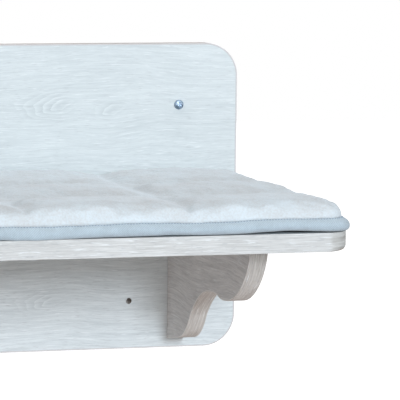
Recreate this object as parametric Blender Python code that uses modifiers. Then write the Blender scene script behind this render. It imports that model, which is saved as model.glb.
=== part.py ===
# Wall-mounted cat bed: a laminated back board, a shelf on two scalloped brackets
# and a quilted plush cushion that lies loose on the shelf.
#
# Metres, +Z up, +X to the right, the front faces -Y. The origin is on the back
# board's rear face, at its centre, where the bed meets the wall.

import math

import bmesh
import bpy
from mathutils import Matrix, Vector
from mathutils.geometry import interpolate_bezier

MM = 0.001

# Gap kept between any two pieces that touch on the real bed
FIT_GAP = 0.3 * MM
# How far a cutter runs past the face that it cuts
CUT_OVERRUN = 1.0 * MM
# Points closer than this are one point
WELD_DISTANCE = 0.01 * MM

# Panels: all four are cut from the same laminated chipboard
PANEL_THICKNESS = 16.0 * MM
EDGING_THICKNESS = 1.0 * MM

# Back board
BOARD_WIDTH = 560.0 * MM
BOARD_HEIGHT = 280.0 * MM
BOARD_CORNER_RADIUS = 30.0 * MM
WALL_HOLE_DIAMETER = 5.5 * MM
UPPER_HOLE_INSET = 56.0 * MM
UPPER_HOLE_DROP = 56.0 * MM
LOWER_HOLE_INSET = 102.0 * MM
LOWER_HOLE_RISE = 44.0 * MM

# Shelf board, as wide as the back board
SHELF_DEPTH = 315.0 * MM
SHELF_CORNER_RADIUS = 25.0 * MM
SHELF_BELOW_BOARD_TOP = 140.0 * MM

# The shelf's lower edge is rounded over at its two front corners. The rounding
# grows round the corner and runs out along the shelf's end.
CORNER_EASE = 4.5 * MM
EASE_RUN_OUT = 30.0 * MM
# Least rounding, and the share of the corner's turn where the full one is reached
EASE_LEAST_SHARE = 0.06
EASE_FULL_SHARE = 0.6
# How far the cut crosses a face, where a true rounding would only touch it
EASE_CROSSING_SHARE = 0.04

# Brackets
BRACKET_REACH = 237.0 * MM
BRACKET_ABOVE_BOARD_FOOT = 8.7 * MM
BRACKET_INSET = 49.0 * MM

# Scalloped outline of a bracket from the shelf's underside round to the back
# board, as shares of its reach and of its drop. Each row is a knot with the
# handle before it and the handle after it.
BRACKET_OUTLINE_SHARES = (
    ((1.000, 0.000), (1.000, 0.000), (1.012, 0.190)),
    ((0.873, 0.510), (0.692, 0.512), (0.665, 0.512)),
    ((0.640, 0.508), (0.620, 0.490), (0.602, 0.478)),
    ((0.545, 0.478), (0.498, 0.493), (0.398, 0.520)),
    ((0.306, 0.700), (0.292, 0.738), (0.247, 0.884)),
    ((0.190, 0.946), (0.127, 0.962), (0.085, 0.974)),
    ((0.040, 0.990), (0.000, 1.000), (0.000, 1.000)),
)

# Wall screws: pan heads with a cross recess, seated on the front face
WALL_SCREW_LENGTH = 60.0 * MM
WALL_SCREW_DIAMETER = 4.6 * MM
WALL_SCREW_TIP_LENGTH = 6.0 * MM
WALL_SCREW_TIP_DIAMETER = 1.2 * MM
PAN_HEAD_DIAMETER = 8.8 * MM
PAN_HEAD_HEIGHT = 3.2 * MM
RECESS_WIDTH = 4.4 * MM
RECESS_SLOT = 1.1 * MM
RECESS_DEPTH = 1.9 * MM
# Height of the pan head's side and of its dome, as shares of radius and height
PAN_HEAD_SHARES = ((0.42, 1.0), (0.74, 0.86), (0.93, 0.58), (1.0, 0.28), (1.0, 0.0))

# Wall plugs: nylon sleeves in the wall, a little behind its surface
PLUG_LENGTH = 38.0 * MM
PLUG_DIAMETER = 8.0 * MM
PLUG_SETBACK = 3.0 * MM
PLUG_RIB_DEPTH = 0.4 * MM
PLUG_RIBS = 5
PLUG_SLIT_WIDTH = 0.9 * MM
PLUG_SLIT_LENGTH = 24.0 * MM

# Panel screws: socket-headed connectors driven in from behind
PANEL_SCREW_LENGTH = 50.0 * MM
PANEL_SCREW_HEAD_DIAMETER = 10.0 * MM
PANEL_SCREW_HEAD_RIM = 1.2 * MM
PANEL_SCREW_HEAD_CONE = 2.8 * MM
PANEL_SCREW_NECK_DIAMETER = 6.8 * MM
PANEL_SCREW_NECK_SETBACK = 3.0 * MM
PANEL_SCREW_THREAD_DIAMETER = 5.6 * MM
PANEL_SCREW_TIP_LENGTH = 5.0 * MM
PANEL_SCREW_TIP_DIAMETER = 3.0 * MM
PANEL_SCREW_SINK = 0.5 * MM
SOCKET_DIAMETER = 4.6 * MM
SOCKET_DEPTH = 3.0 * MM
# Where they stand, as shares of the half width and of the bracket's drop
SHELF_SCREW_SHARES = (-0.875, -0.3, 0.3, 0.875)
BRACKET_SCREW_SHARES = (0.26, 0.70)

# Dowels: fluted beech pegs, blind in both panels
DOWEL_DIAMETER = 8.0 * MM
DOWEL_LENGTH = 30.0 * MM
DOWEL_CHAMFER = 1.0 * MM
DOWEL_SKIN = 5.0 * MM
# Where they stand, as shares of the half width and of the bracket's reach
SHELF_DOWEL_SHARES = (-0.6, 0.0, 0.6)
BRACKET_DOWEL_SHARES = (0.25, 0.62)

# Cushion: a woven base with a padded border, a quilted plush top, a filling
CUSHION_SIDE_OVERHANG = 2.0 * MM
CUSHION_FRONT_OVERHANG = 4.0 * MM
CUSHION_BACK_CLEARANCE = 4.0 * MM
CUSHION_CORNER_RADIUS = 24.0 * MM
CUSHION_DRAW_IN = 2.0 * MM
BORDER_HEIGHT = 11.0 * MM
BORDER_BULGE = 7.0 * MM
BASE_CLOTH_THICKNESS = 1.5 * MM
PLUSH_THICKNESS = 2.0 * MM
PLUSH_ROLL = 9.0 * MM
FILLING_CLEARANCE = 1.6 * MM
QUILT_SEAM_HEIGHT = 19.5 * MM
QUILT_CROWN_HEIGHT = 27.0 * MM
QUILT_COLUMNS = 4
QUILT_ROWS = 3
# How full a quilted cell stands towards its seams
QUILT_FULLNESS = 0.7
# The base's rings from its sewn rim down to its flat underside: how far each
# is drawn in, as a share of the bulge, and how high, as a share of the border
BASE_RING_SHARES = ((1.0, 1.0), (0.25, 0.77), (0.0, 0.48), (0.22, 0.15), (0.95, 0.0))
# The plush top's rings at the rim, as shares of its roll
PLUSH_RING_SHARES = (0.0, 0.06, 0.32, 0.8)
# The filling's rings, counted from its own upright side
FILLING_RING_SHARES = (0.0, 0.3, 0.8)

# Facets, and how far two faces turn before the edge between them shows as sharp
SHARP_ANGLE = math.radians(35)
ROUND_STEPS = 20
ARC_STEPS = 16
OUTLINE_STEPS = 14
EASE_STEPS = 8
EASE_ROUND_STEPS = 4
PLUSH_STEPS_ACROSS = 5
PLUSH_STEPS_DEEP = 4

# Limits on a slope and on a mitre, so that neither runs away at a sharp turn
LEAST_UPWARD_SHARE = 0.5
LEAST_MITRE_SHARE = 0.5
# A grid line keeps this share of the pitch to the rim's innermost ring
LEAST_PITCH_SHARE = 0.25

# Places that follow from the sizes above
BOARD_FRONT = -PANEL_THICKNESS
SHELF_TOP = BOARD_HEIGHT / 2 - SHELF_BELOW_BOARD_TOP
SHELF_REAR = BOARD_FRONT - FIT_GAP
SHELF_UNDERSIDE = SHELF_TOP - PANEL_THICKNESS
BRACKET_TOP = SHELF_UNDERSIDE - FIT_GAP
BRACKET_DROP = BRACKET_TOP + BOARD_HEIGHT / 2 - BRACKET_ABOVE_BOARD_FOOT
BRACKET_MIDDLE = BOARD_WIDTH / 2 - BRACKET_INSET - PANEL_THICKNESS / 2
CORE_INSET = EDGING_THICKNESS + FIT_GAP

# The bed's pieces and the shapes that cut them are kept in two collections
BED = "wall_mounted_cat_bed"
CUTTERS = "cutters"

# Colours: linear red, green, blue, then roughness and metallic
FINISHES = {
    "washed_oak_laminate": ((0.72, 0.79, 0.82), 0.55, 0.0),
    "oak_edging": ((0.70, 0.70, 0.68), 0.5, 0.0),
    "zinc_plated_steel": ((0.55, 0.60, 0.66), 0.35, 1.0),
    "beech": ((0.62, 0.44, 0.27), 0.7, 0.0),
    "grey_nylon": ((0.42, 0.43, 0.45), 0.5, 0.0),
    "plush": ((0.72, 0.76, 0.80), 0.95, 0.0),
    "twill": ((0.45, 0.55, 0.66), 0.9, 0.0),
    "wadding": ((0.90, 0.90, 0.88), 1.0, 0.0),
}


def clear_startup_objects():
    for item in list(bpy.data.objects):
        bpy.data.objects.remove(item, do_unlink=True)


def add_collections():
    for name in (BED, CUTTERS):
        bpy.context.scene.collection.children.link(bpy.data.collections.new(name))


def finish_material(name):
    colour, roughness, metallic = FINISHES[name]
    material = bpy.data.materials.get(name) or bpy.data.materials.new(name)
    material.use_nodes = True
    shader = material.node_tree.nodes["Principled BSDF"]
    shader.inputs["Base Color"].default_value = (*colour, 1.0)
    shader.inputs["Roughness"].default_value = roughness
    shader.inputs["Metallic"].default_value = metallic
    return material


def place(name, mesh, finish, parent, location=(0, 0, 0), rotation=(0, 0, 0)):
    """Add one sub-part to the bed, under an empty."""
    piece = bpy.data.objects.new(name, mesh)
    if not mesh.materials:
        mesh.materials.append(finish_material(finish))
    piece.location = location
    piece.rotation_euler = rotation
    piece.parent = parent
    bpy.data.collections[BED].objects.link(piece)
    return piece


def place_cutter(name, mesh, location=(0, 0, 0), rotation=(0, 0, 0)):
    cutter = bpy.data.objects.new(name, mesh)
    cutter.location = location
    cutter.rotation_euler = rotation
    cutter.hide_render = True
    cutter.display_type = "WIRE"
    bpy.data.collections[CUTTERS].objects.link(cutter)
    return cutter


def cut(piece, cutters):
    for cutter in cutters:
        hole = piece.modifiers.new(cutter.name, "BOOLEAN")
        hole.operation = "DIFFERENCE"
        hole.solver = "EXACT"
        hole.object = cutter


def baked_mesh(source):
    """The evaluated mesh of a working object, welded; the object is removed."""
    bpy.context.view_layer.update()
    depsgraph = bpy.context.evaluated_depsgraph_get()
    mesh = bpy.data.meshes.new_from_object(source.evaluated_get(depsgraph))
    mesh.name = source.name
    shape = bmesh.new()
    shape.from_mesh(mesh)
    bmesh.ops.remove_doubles(shape, verts=shape.verts, dist=WELD_DISTANCE)
    shape.to_mesh(mesh)
    shape.free()
    bpy.data.objects.remove(source, do_unlink=True)
    return mesh


def round_off(mesh):
    """Smooth shading with sharp edges kept, for turned pieces."""
    mesh.shade_smooth()
    mesh.set_sharp_from_angle(angle=SHARP_ANGLE)
    return mesh


def flat_mesh(name, loops, thickness):
    """A plate: closed outlines in a plane, filled and given half its thickness each way."""
    curve = bpy.data.curves.new(name, "CURVE")
    curve.dimensions = "2D"
    curve.fill_mode = "BOTH"
    curve.extrude = thickness / 2
    for loop in loops:
        spline = curve.splines.new("POLY")
        spline.points.add(len(loop) - 1)
        for point, (x, y) in zip(spline.points, loop):
            point.co = (x, y, 0, 1)
        spline.use_cyclic_u = True
    plate = bpy.data.objects.new(name, curve)
    bpy.context.scene.collection.objects.link(plate)
    return baked_mesh(plate)


def turned_mesh(name, profile, closed=False, steps=ROUND_STEPS):
    """A turned piece: (radius, height) points down its outer side, spun round Z."""
    mesh = bpy.data.meshes.new(name)
    shape = bmesh.new()
    points = [shape.verts.new((radius, 0, height)) for radius, height in profile]
    for first, second in zip(points, points[1:]):
        shape.edges.new((first, second))
    if closed:
        shape.edges.new((points[-1], points[0]))
    shape.to_mesh(mesh)
    shape.free()
    piece = bpy.data.objects.new(name, mesh)
    bpy.context.scene.collection.objects.link(piece)
    screw = piece.modifiers.new("turn", "SCREW")
    screw.steps = steps
    screw.render_steps = steps
    screw.use_merge_vertices = True
    screw.merge_threshold = WELD_DISTANCE
    return baked_mesh(piece)


def box_mesh(name, width, depth, height):
    """A box centred in plan that reaches from its origin down to -height."""
    mesh = bpy.data.meshes.new(name)
    shape = bmesh.new()
    spot = Matrix.Translation((0, 0, -height / 2)) @ Matrix.Diagonal((width, depth, height, 1))
    bmesh.ops.create_cube(shape, size=1, matrix=spot)
    shape.to_mesh(mesh)
    shape.free()
    return mesh


def cylinder_mesh(name, radius, height, sides=ROUND_STEPS):
    """A cylinder that reaches from its origin down to -height."""
    mesh = bpy.data.meshes.new(name)
    shape = bmesh.new()
    bmesh.ops.create_cone(
        shape, cap_ends=True, segments=sides, radius1=radius, radius2=radius,
        depth=height, matrix=Matrix.Translation((0, 0, -height / 2)))
    shape.to_mesh(mesh)
    shape.free()
    return mesh


def corner_arc(centre, radius, start):
    """A quarter turn, counter-clockwise from the start angle."""
    angles = (start + math.pi / 2 * step / ARC_STEPS for step in range(ARC_STEPS + 1))
    return [(centre[0] + radius * math.cos(a), centre[1] + radius * math.sin(a)) for a in angles]


def board_outline(inset):
    """The back board's rounded rectangle, drawn in by an inset."""
    radius = BOARD_CORNER_RADIUS - inset
    across = BOARD_WIDTH / 2 - BOARD_CORNER_RADIUS
    up = BOARD_HEIGHT / 2 - BOARD_CORNER_RADIUS
    outline = []
    for quarter, (x, y) in enumerate(((across, up), (-across, up), (-across, -up), (across, -up))):
        outline += corner_arc((x, y), radius, quarter * math.pi / 2)
    return outline


def shelf_path(inset):
    """Round the shelf's banded edge, from its rear left corner to its rear right."""
    radius = SHELF_CORNER_RADIUS - inset
    across = BOARD_WIDTH / 2 - SHELF_CORNER_RADIUS
    front = SHELF_CORNER_RADIUS - SHELF_DEPTH
    side = BOARD_WIDTH / 2 - inset
    path = [(-side, 0)]
    path += corner_arc((-across, front), radius, math.pi)
    path += corner_arc((across, front), radius, -math.pi / 2)
    path.append((side, 0))
    return path


def bracket_path():
    """The bracket's scalloped edge, in its own plane: x out from the wall, y up."""
    knots = []
    for row in BRACKET_OUTLINE_SHARES:
        knots.append([Vector((reach * BRACKET_REACH, -drop * BRACKET_DROP)) for reach, drop in row])
    path = [knots[0][1]]
    for before, after in zip(knots, knots[1:]):
        path += interpolate_bezier(before[1], before[2], after[0], after[1], OUTLINE_STEPS)[1:]
    return [Vector(point[:2]) for point in path]


def drawn_in(path, inset):
    """A path moved to its right-hand side, with its two ends kept on the panel's own edges."""
    moved = []
    for index, point in enumerate(path):
        before = path[max(index - 1, 0)]
        after = path[min(index + 1, len(path) - 1)]
        arriving = (point - before).normalized() if index else (after - point).normalized()
        leaving = (after - point).normalized() if after != point else arriving
        across = (arriving + leaving).normalized()
        normal = Vector((across.y, -across.x))
        mitre = max(normal.dot(Vector((arriving.y, -arriving.x))), LEAST_MITRE_SHARE)
        moved.append(point + normal * (inset / mitre))
    moved[0].y = 0
    moved[-1].x = 0
    return moved


def make_back_board(parent):
    face_down = (math.pi / 2, 0, 0)
    middle = (0, BOARD_FRONT / 2, 0)
    core = flat_mesh("back_board", [board_outline(CORE_INSET)], PANEL_THICKNESS)
    board = place("back_board", core, "washed_oak_laminate", parent, middle, face_down)
    loops = [board_outline(0), board_outline(EDGING_THICKNESS)]
    strip = flat_mesh("back_board_edging", loops, PANEL_THICKNESS)
    place("back_board_edging", strip, "oak_edging", parent, middle, face_down)
    return board


def smooth_share(share):
    share = min(max(share, 0), 1)
    return share * share * (3 - 2 * share)


def ease_radius(growth):
    return CORNER_EASE * (EASE_LEAST_SHARE + (1 - EASE_LEAST_SHARE) * growth)


def ease_stations():
    """From the shelf's front round its right corner: places, outward ways and roundings."""
    centre = Vector((BOARD_WIDTH / 2 - SHELF_CORNER_RADIUS, SHELF_CORNER_RADIUS - SHELF_DEPTH))
    for step in range(ARC_STEPS + 1):
        share = step / ARC_STEPS
        angle = math.pi / 2 * (share - 1)
        outward = Vector((math.cos(angle), math.sin(angle)))
        growth = smooth_share(share / EASE_FULL_SHARE)
        yield centre + outward * SHELF_CORNER_RADIUS, outward, ease_radius(growth)
    for step in range(1, EASE_STEPS + 1):
        share = step / EASE_STEPS
        spot = Vector((BOARD_WIDTH / 2, centre.y + EASE_RUN_OUT * share))
        yield spot, Vector((1, 0)), ease_radius(smooth_share(1 - share))


def swept_mesh(name, rings):
    """A solid through closed rings of points, with its two ends capped."""
    shape = bmesh.new()
    rings = [[shape.verts.new(point) for point in ring] for ring in rings]
    for first, second in zip(rings, rings[1:]):
        for index in range(len(first)):
            after = (index + 1) % len(first)
            shape.faces.new((first[index], first[after], second[after], second[index]))
    shape.faces.new(rings[0])
    shape.faces.new(rings[-1])
    bmesh.ops.triangulate(shape, faces=shape.faces)
    bmesh.ops.recalc_face_normals(shape, faces=shape.faces)
    mesh = bpy.data.meshes.new(name)
    shape.to_mesh(mesh)
    shape.free()
    return mesh


def rim_ring(side, station, section):
    """A section (outward, upward) set up at one place; side is -1 on the shelf's left."""
    spot, outward, _ = station
    points = [spot + outward * out for out, _ in section]
    return [(side * point.x, point.y, up) for point, (_, up) in zip(points, section)]


def corner_ease_mesh(side):
    """What the rounding takes off the shelf board at one front corner."""
    rings = []
    for station in ease_stations():
        radius = station[2]
        middle = radius * (1 - EASE_CROSSING_SHARE)
        section = []
        for step in range(EASE_ROUND_STEPS + 1):
            angle = -math.pi / 2 * step / EASE_ROUND_STEPS
            section.append((radius * math.cos(angle) - middle, radius * math.sin(angle) + middle))
        section += [(-middle, -CUT_OVERRUN), (CUT_OVERRUN, -CUT_OVERRUN), (CUT_OVERRUN, middle)]
        rings.append(rim_ring(side, station, section))
    return swept_mesh("corner_ease", rings)


def shelf_edging_mesh():
    """The band round the shelf's ends and front, rounded over with the shelf's corners."""
    stations = list(ease_stations())
    rear = (Vector((BOARD_WIDTH / 2, 0)), Vector((1, 0)), stations[-1][2])
    rings = []
    for side, order in ((1, [rear] + stations[::-1]), (-1, stations + [rear])):
        for station in order:
            radius = station[2]
            reach = min(EDGING_THICKNESS / radius, 1)
            turn = math.acos(1 - reach)
            section = []
            for step in range(EASE_ROUND_STEPS):
                angle = turn * step / EASE_ROUND_STEPS
                section.append((radius * (math.cos(angle) - 1), radius * (1 - math.sin(angle))))
            section.append((-EDGING_THICKNESS, radius * (1 - math.sin(turn))))
            section += [(-EDGING_THICKNESS, PANEL_THICKNESS), (0, PANEL_THICKNESS)]
            rings.append(rim_ring(side, station, section))
    return swept_mesh("shelf_edging", rings)


def make_shelf_board(parent):
    spot = (0, SHELF_REAR, SHELF_TOP - PANEL_THICKNESS / 2)
    underside = (0, SHELF_REAR, SHELF_UNDERSIDE)
    core = flat_mesh("shelf_board", [shelf_path(CORE_INSET)], PANEL_THICKNESS)
    shelf = place("shelf_board", core, "washed_oak_laminate", parent, spot)
    place("shelf_edging", shelf_edging_mesh(), "oak_edging", parent, underside)
    cut(shelf, [place_cutter("corner_ease", corner_ease_mesh(side), underside) for side in (-1, 1)])
    return shelf


def make_bracket(side, across, parent):
    """One bracket and its edging, standing out from the back board at x = across."""
    upright = (math.pi / 2, 0, -math.pi / 2)
    spot = (across, SHELF_REAR, BRACKET_TOP)
    path = bracket_path()
    outline = drawn_in(path, CORE_INSET) + [Vector((0, 0))]
    core = flat_mesh(f"bracket_{side}", [outline], PANEL_THICKNESS)
    bracket = place(f"bracket_{side}", core, "washed_oak_laminate", parent, spot, upright)
    loop = path + drawn_in(path, EDGING_THICKNESS)[::-1]
    strip = flat_mesh(f"bracket_{side}_edging", [loop], PANEL_THICKNESS)
    place(f"bracket_{side}_edging", strip, "oak_edging", parent, spot, upright)
    return bracket


def wall_hole_places():
    """Wall screw holes on the back board, as (x, z): the upper pair, then the lower pair."""
    upper_x = BOARD_WIDTH / 2 - UPPER_HOLE_INSET
    upper_z = BOARD_HEIGHT / 2 - UPPER_HOLE_DROP
    lower_x = BOARD_WIDTH / 2 - LOWER_HOLE_INSET
    lower_z = LOWER_HOLE_RISE - BOARD_HEIGHT / 2
    return [(-upper_x, upper_z), (upper_x, upper_z)], [(-lower_x, lower_z), (lower_x, lower_z)]


def drill_wall_holes(board):
    upper, lower = wall_hole_places()
    depth = PANEL_THICKNESS + 2 * CUT_OVERRUN
    drill = cylinder_mesh("wall_hole", WALL_HOLE_DIAMETER / 2, depth)
    cutters = []
    for x, z in upper + lower:
        cutters.append(place_cutter("wall_hole", drill, (x, CUT_OVERRUN, z), (-math.pi / 2, 0, 0)))
    cut(board, cutters)


def wall_screw_mesh():
    head = PAN_HEAD_DIAMETER / 2
    shank = WALL_SCREW_DIAMETER / 2
    profile = [(0, PAN_HEAD_HEIGHT)]
    profile += [(head * out, PAN_HEAD_HEIGHT * up) for out, up in PAN_HEAD_SHARES]
    profile += [
        (shank, 0),
        (shank, WALL_SCREW_TIP_LENGTH - WALL_SCREW_LENGTH),
        (WALL_SCREW_TIP_DIAMETER / 2, -WALL_SCREW_LENGTH),
        (0, -WALL_SCREW_LENGTH),
    ]
    screw = bpy.data.objects.new("wall_screw", turned_mesh("wall_screw", profile))
    bpy.context.scene.collection.objects.link(screw)
    depth = RECESS_DEPTH + CUT_OVERRUN
    top = (0, 0, PAN_HEAD_HEIGHT + CUT_OVERRUN)
    slots = [
        place_cutter("recess_across", box_mesh("recess_across", RECESS_WIDTH, RECESS_SLOT, depth), top),
        place_cutter("recess_along", box_mesh("recess_along", RECESS_SLOT, RECESS_WIDTH, depth), top),
    ]
    cut(screw, slots)
    return round_off(baked_mesh(screw))


def wall_plug_mesh():
    """A ribbed sleeve whose far end is split crosswise, so that it can spread."""
    outer = PLUG_DIAMETER / 2
    groove = outer - PLUG_RIB_DEPTH
    bore = WALL_SCREW_DIAMETER / 2 + FIT_GAP
    pitch = PLUG_LENGTH / (2 * PLUG_RIBS + 1)
    profile = []
    for rib in range(PLUG_RIBS + 1):
        profile.append((outer, -2 * rib * pitch))
        profile.append((outer, -(2 * rib + 1) * pitch))
        if rib < PLUG_RIBS:
            profile.append((groove, -(2 * rib + 1) * pitch))
            profile.append((groove, -(2 * rib + 2) * pitch))
    profile += [(bore, -PLUG_LENGTH), (bore, 0)]
    sleeve = turned_mesh("wall_plug", profile, closed=True)
    plug = bpy.data.objects.new("wall_plug", sleeve)
    bpy.context.scene.collection.objects.link(plug)
    width = PLUG_DIAMETER + 2 * CUT_OVERRUN
    far_end = (0, 0, PLUG_SLIT_LENGTH - PLUG_LENGTH)
    depth = PLUG_SLIT_LENGTH + CUT_OVERRUN
    slits = [
        place_cutter("slit_across", box_mesh("slit_across", width, PLUG_SLIT_WIDTH, depth), far_end),
        place_cutter("slit_along", box_mesh("slit_along", PLUG_SLIT_WIDTH, width, depth), far_end),
    ]
    cut(plug, slits)
    return baked_mesh(plug)


def make_wall_fixings(parent):
    """Screws through the upper pair of holes, each in its plug; the lower holes are empty."""
    upper, _ = wall_hole_places()
    screw = wall_screw_mesh()
    plug = wall_plug_mesh()
    for side, (x, z) in zip(("left", "right"), upper):
        seat = (x, BOARD_FRONT - FIT_GAP, z)
        place(f"wall_screw_{side}", screw, "zinc_plated_steel", parent, seat, (math.pi / 2, 0, 0))
        spot = (x, PLUG_SETBACK, z)
        place(f"wall_plug_{side}", plug, "grey_nylon", parent, spot, (math.pi / 2, 0, 0))


def panel_screw_mesh():
    head = PANEL_SCREW_HEAD_DIAMETER / 2
    neck = PANEL_SCREW_NECK_DIAMETER / 2
    thread = PANEL_SCREW_THREAD_DIAMETER / 2
    neck_end = PANEL_SCREW_NECK_SETBACK - PANEL_THICKNESS
    profile = [
        (0, 0),
        (head, 0),
        (head, -PANEL_SCREW_HEAD_RIM),
        (neck, -PANEL_SCREW_HEAD_RIM - PANEL_SCREW_HEAD_CONE),
        (neck, neck_end),
        (thread, neck_end),
        (thread, PANEL_SCREW_TIP_LENGTH - PANEL_SCREW_LENGTH),
        (PANEL_SCREW_TIP_DIAMETER / 2, -PANEL_SCREW_LENGTH),
        (0, -PANEL_SCREW_LENGTH),
    ]
    screw = bpy.data.objects.new("panel_screw", turned_mesh("panel_screw", profile))
    bpy.context.scene.collection.objects.link(screw)
    socket = cylinder_mesh("hex_socket", SOCKET_DIAMETER / 2, SOCKET_DEPTH + CUT_OVERRUN, sides=6)
    cut(screw, [place_cutter("hex_socket", socket, (0, 0, CUT_OVERRUN))])
    return round_off(baked_mesh(screw))


def panel_screw_clearance():
    """The stepped hole for a panel screw, from behind the back board to past the tip."""
    head = PANEL_SCREW_HEAD_DIAMETER / 2 + FIT_GAP
    neck = PANEL_SCREW_NECK_DIAMETER / 2 + FIT_GAP
    cone_top = -PANEL_SCREW_HEAD_RIM - FIT_GAP
    cone_end = cone_top - PANEL_SCREW_HEAD_CONE
    return turned_mesh("panel_screw_clearance", [
        (0, PANEL_SCREW_SINK + CUT_OVERRUN),
        (head, PANEL_SCREW_SINK + CUT_OVERRUN),
        (head, cone_top),
        (neck, cone_end),
        (neck, -PANEL_THICKNESS - CUT_OVERRUN),
        (0, -PANEL_THICKNESS - CUT_OVERRUN),
    ])


def make_panel_screws(board, shelf, brackets, parent):
    """Panel screws through the back board into the shelf's rear edge and both brackets."""
    screw = panel_screw_mesh()
    clearance = panel_screw_clearance()
    pilot_length = PANEL_SCREW_LENGTH + FIT_GAP
    pilot = cylinder_mesh("pilot_hole", PANEL_SCREW_THREAD_DIAMETER / 2 + FIT_GAP, pilot_length)
    backwards = (-math.pi / 2, 0, 0)

    def drive(name, x, z, target):
        spot = (x, -PANEL_SCREW_SINK, z)
        place(name, screw, "zinc_plated_steel", parent, spot, backwards)
        cut(board, [place_cutter(f"{name}_clearance", clearance, spot, backwards)])
        cut(target, [place_cutter(f"{name}_pilot", pilot, spot, backwards)])

    shelf_middle = SHELF_TOP - PANEL_THICKNESS / 2
    for number, share in enumerate(SHELF_SCREW_SHARES, 1):
        drive(f"shelf_screw_{number}", share * BOARD_WIDTH / 2, shelf_middle, shelf)
    for side, bracket in brackets.items():
        for level, share in zip(("upper", "lower"), BRACKET_SCREW_SHARES):
            z = BRACKET_TOP - share * BRACKET_DROP
            drive(f"bracket_{side}_{level}_screw", bracket.location.x, z, bracket)


def dowel_mesh():
    radius = DOWEL_DIAMETER / 2
    return round_off(turned_mesh("dowel", [
        (0, 0),
        (radius - DOWEL_CHAMFER, 0),
        (radius, -DOWEL_CHAMFER),
        (radius, DOWEL_CHAMFER - DOWEL_LENGTH),
        (radius - DOWEL_CHAMFER, -DOWEL_LENGTH),
        (0, -DOWEL_LENGTH),
    ]))


def make_dowels(board, shelf, brackets, parent):
    """Blind dowels: up into the shelf from each bracket, and from the board into the shelf."""
    dowel = dowel_mesh()
    hole = cylinder_mesh("dowel_hole", DOWEL_DIAMETER / 2 + FIT_GAP, DOWEL_LENGTH + 2 * FIT_GAP)
    blind = PANEL_THICKNESS - DOWEL_SKIN

    def fit(name, spot, way, rotation, panels):
        place(name, dowel, "beech", parent, spot, rotation)
        mouth = Vector(spot) + Vector(way) * FIT_GAP
        for panel in panels:
            cut(panel, [place_cutter(f"{name}_hole", hole, mouth, rotation)])

    for side, bracket in brackets.items():
        for place_name, share in zip(("rear", "front"), BRACKET_DOWEL_SHARES):
            spot = (bracket.location.x, SHELF_REAR - share * BRACKET_REACH, SHELF_UNDERSIDE + blind)
            fit(f"bracket_{side}_{place_name}_dowel", spot, (0, 0, 1), (0, 0, 0), (shelf, bracket))
    shelf_middle = SHELF_TOP - PANEL_THICKNESS / 2
    for number, share in enumerate(SHELF_DOWEL_SHARES, 1):
        spot = (share * BOARD_WIDTH / 2, BOARD_FRONT + blind, shelf_middle)
        fit(f"shelf_dowel_{number}", spot, (0, 1, 0), (-math.pi / 2, 0, 0), (board, shelf))


# The cushion's plan, seen from above, is worked out about its own middle
CUSHION_HALF_WIDTH = BOARD_WIDTH / 2 + CUSHION_SIDE_OVERHANG
CUSHION_REAR = BOARD_FRONT - CUSHION_BACK_CLEARANCE
CUSHION_FRONT = SHELF_REAR - SHELF_DEPTH - CUSHION_FRONT_OVERHANG
CUSHION_HALF_DEPTH = (CUSHION_REAR - CUSHION_FRONT) / 2
CUSHION_MIDDLE = (CUSHION_REAR + CUSHION_FRONT) / 2


def stations(half, insets, count):
    """Grid lines across the cushion: its rim's rings, and evenly spaced lines between them."""
    pitch = 2 * half / count
    inner = [index * pitch - half for index in range(1, count)]
    reach = half - insets[-1] - pitch * LEAST_PITCH_SHARE
    middle = [line for line in inner if abs(line) < reach]
    rim = [half - inset for inset in insets]
    return [-line for line in rim] + middle + rim[::-1]


def in_plan(x, y, inset):
    """A point of the square grid, moved onto the cushion's rounded and drawn-in plan."""
    half_width = CUSHION_HALF_WIDTH - inset
    half_depth = CUSHION_HALF_DEPTH - inset
    radius = max(CUSHION_CORNER_RADIUS - inset, 0)
    into_x = abs(x) - (half_width - radius)
    into_y = abs(y) - (half_depth - radius)
    if into_x > 0 and into_y > 0:
        shrink = max(into_x, into_y) / math.hypot(into_x, into_y)
        x = math.copysign(half_width - radius + into_x * shrink, x)
        y = math.copysign(half_depth - radius + into_y * shrink, y)
    waist_x = math.cos(math.pi / 2 * y / CUSHION_HALF_DEPTH)
    waist_y = math.cos(math.pi / 2 * x / CUSHION_HALF_WIDTH)
    x -= CUSHION_DRAW_IN * waist_x * x / CUSHION_HALF_WIDTH
    y -= CUSHION_DRAW_IN * waist_y * y / CUSHION_HALF_DEPTH
    return x, y


def quilt_height(x, y):
    """Height of the quilted top over the shelf: full in each cell, low along its seams."""
    across = (x / CUSHION_HALF_WIDTH + 1) / 2 * QUILT_COLUMNS
    deep = (y / CUSHION_HALF_DEPTH + 1) / 2 * QUILT_ROWS
    full = abs(math.sin(math.pi * across)) * abs(math.sin(math.pi * deep))
    rise = QUILT_CROWN_HEIGHT - QUILT_SEAM_HEIGHT
    return QUILT_SEAM_HEIGHT + rise * max(full, 0) ** QUILT_FULLNESS


def roll_share(inset, roll):
    """How much of the full height is reached this far in from the rim: a quarter round."""
    left = 1 - min(inset / roll, 1)
    return math.sqrt(max(1 - left * left, 0))


def grid_shape(lines_x, lines_y):
    """A flat grid, with its lines where they are given."""
    shape = bmesh.new()
    columns = len(lines_x) - 1
    rows = len(lines_y) - 1
    bmesh.ops.create_grid(shape, x_segments=columns, y_segments=rows, size=1)
    rings = {}
    for corner in shape.verts:
        column = round((corner.co.x + 1) / 2 * columns)
        row = round((corner.co.y + 1) / 2 * rows)
        corner.co = (lines_x[column], lines_y[row], 0)
        rings[corner] = min(column, columns - column, row, rows - row)
    return shape, rings


def shape_to_mesh(name, shape):
    mesh = bpy.data.meshes.new(name)
    shape.to_mesh(mesh)
    shape.free()
    mesh.shade_smooth()
    return mesh


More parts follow.
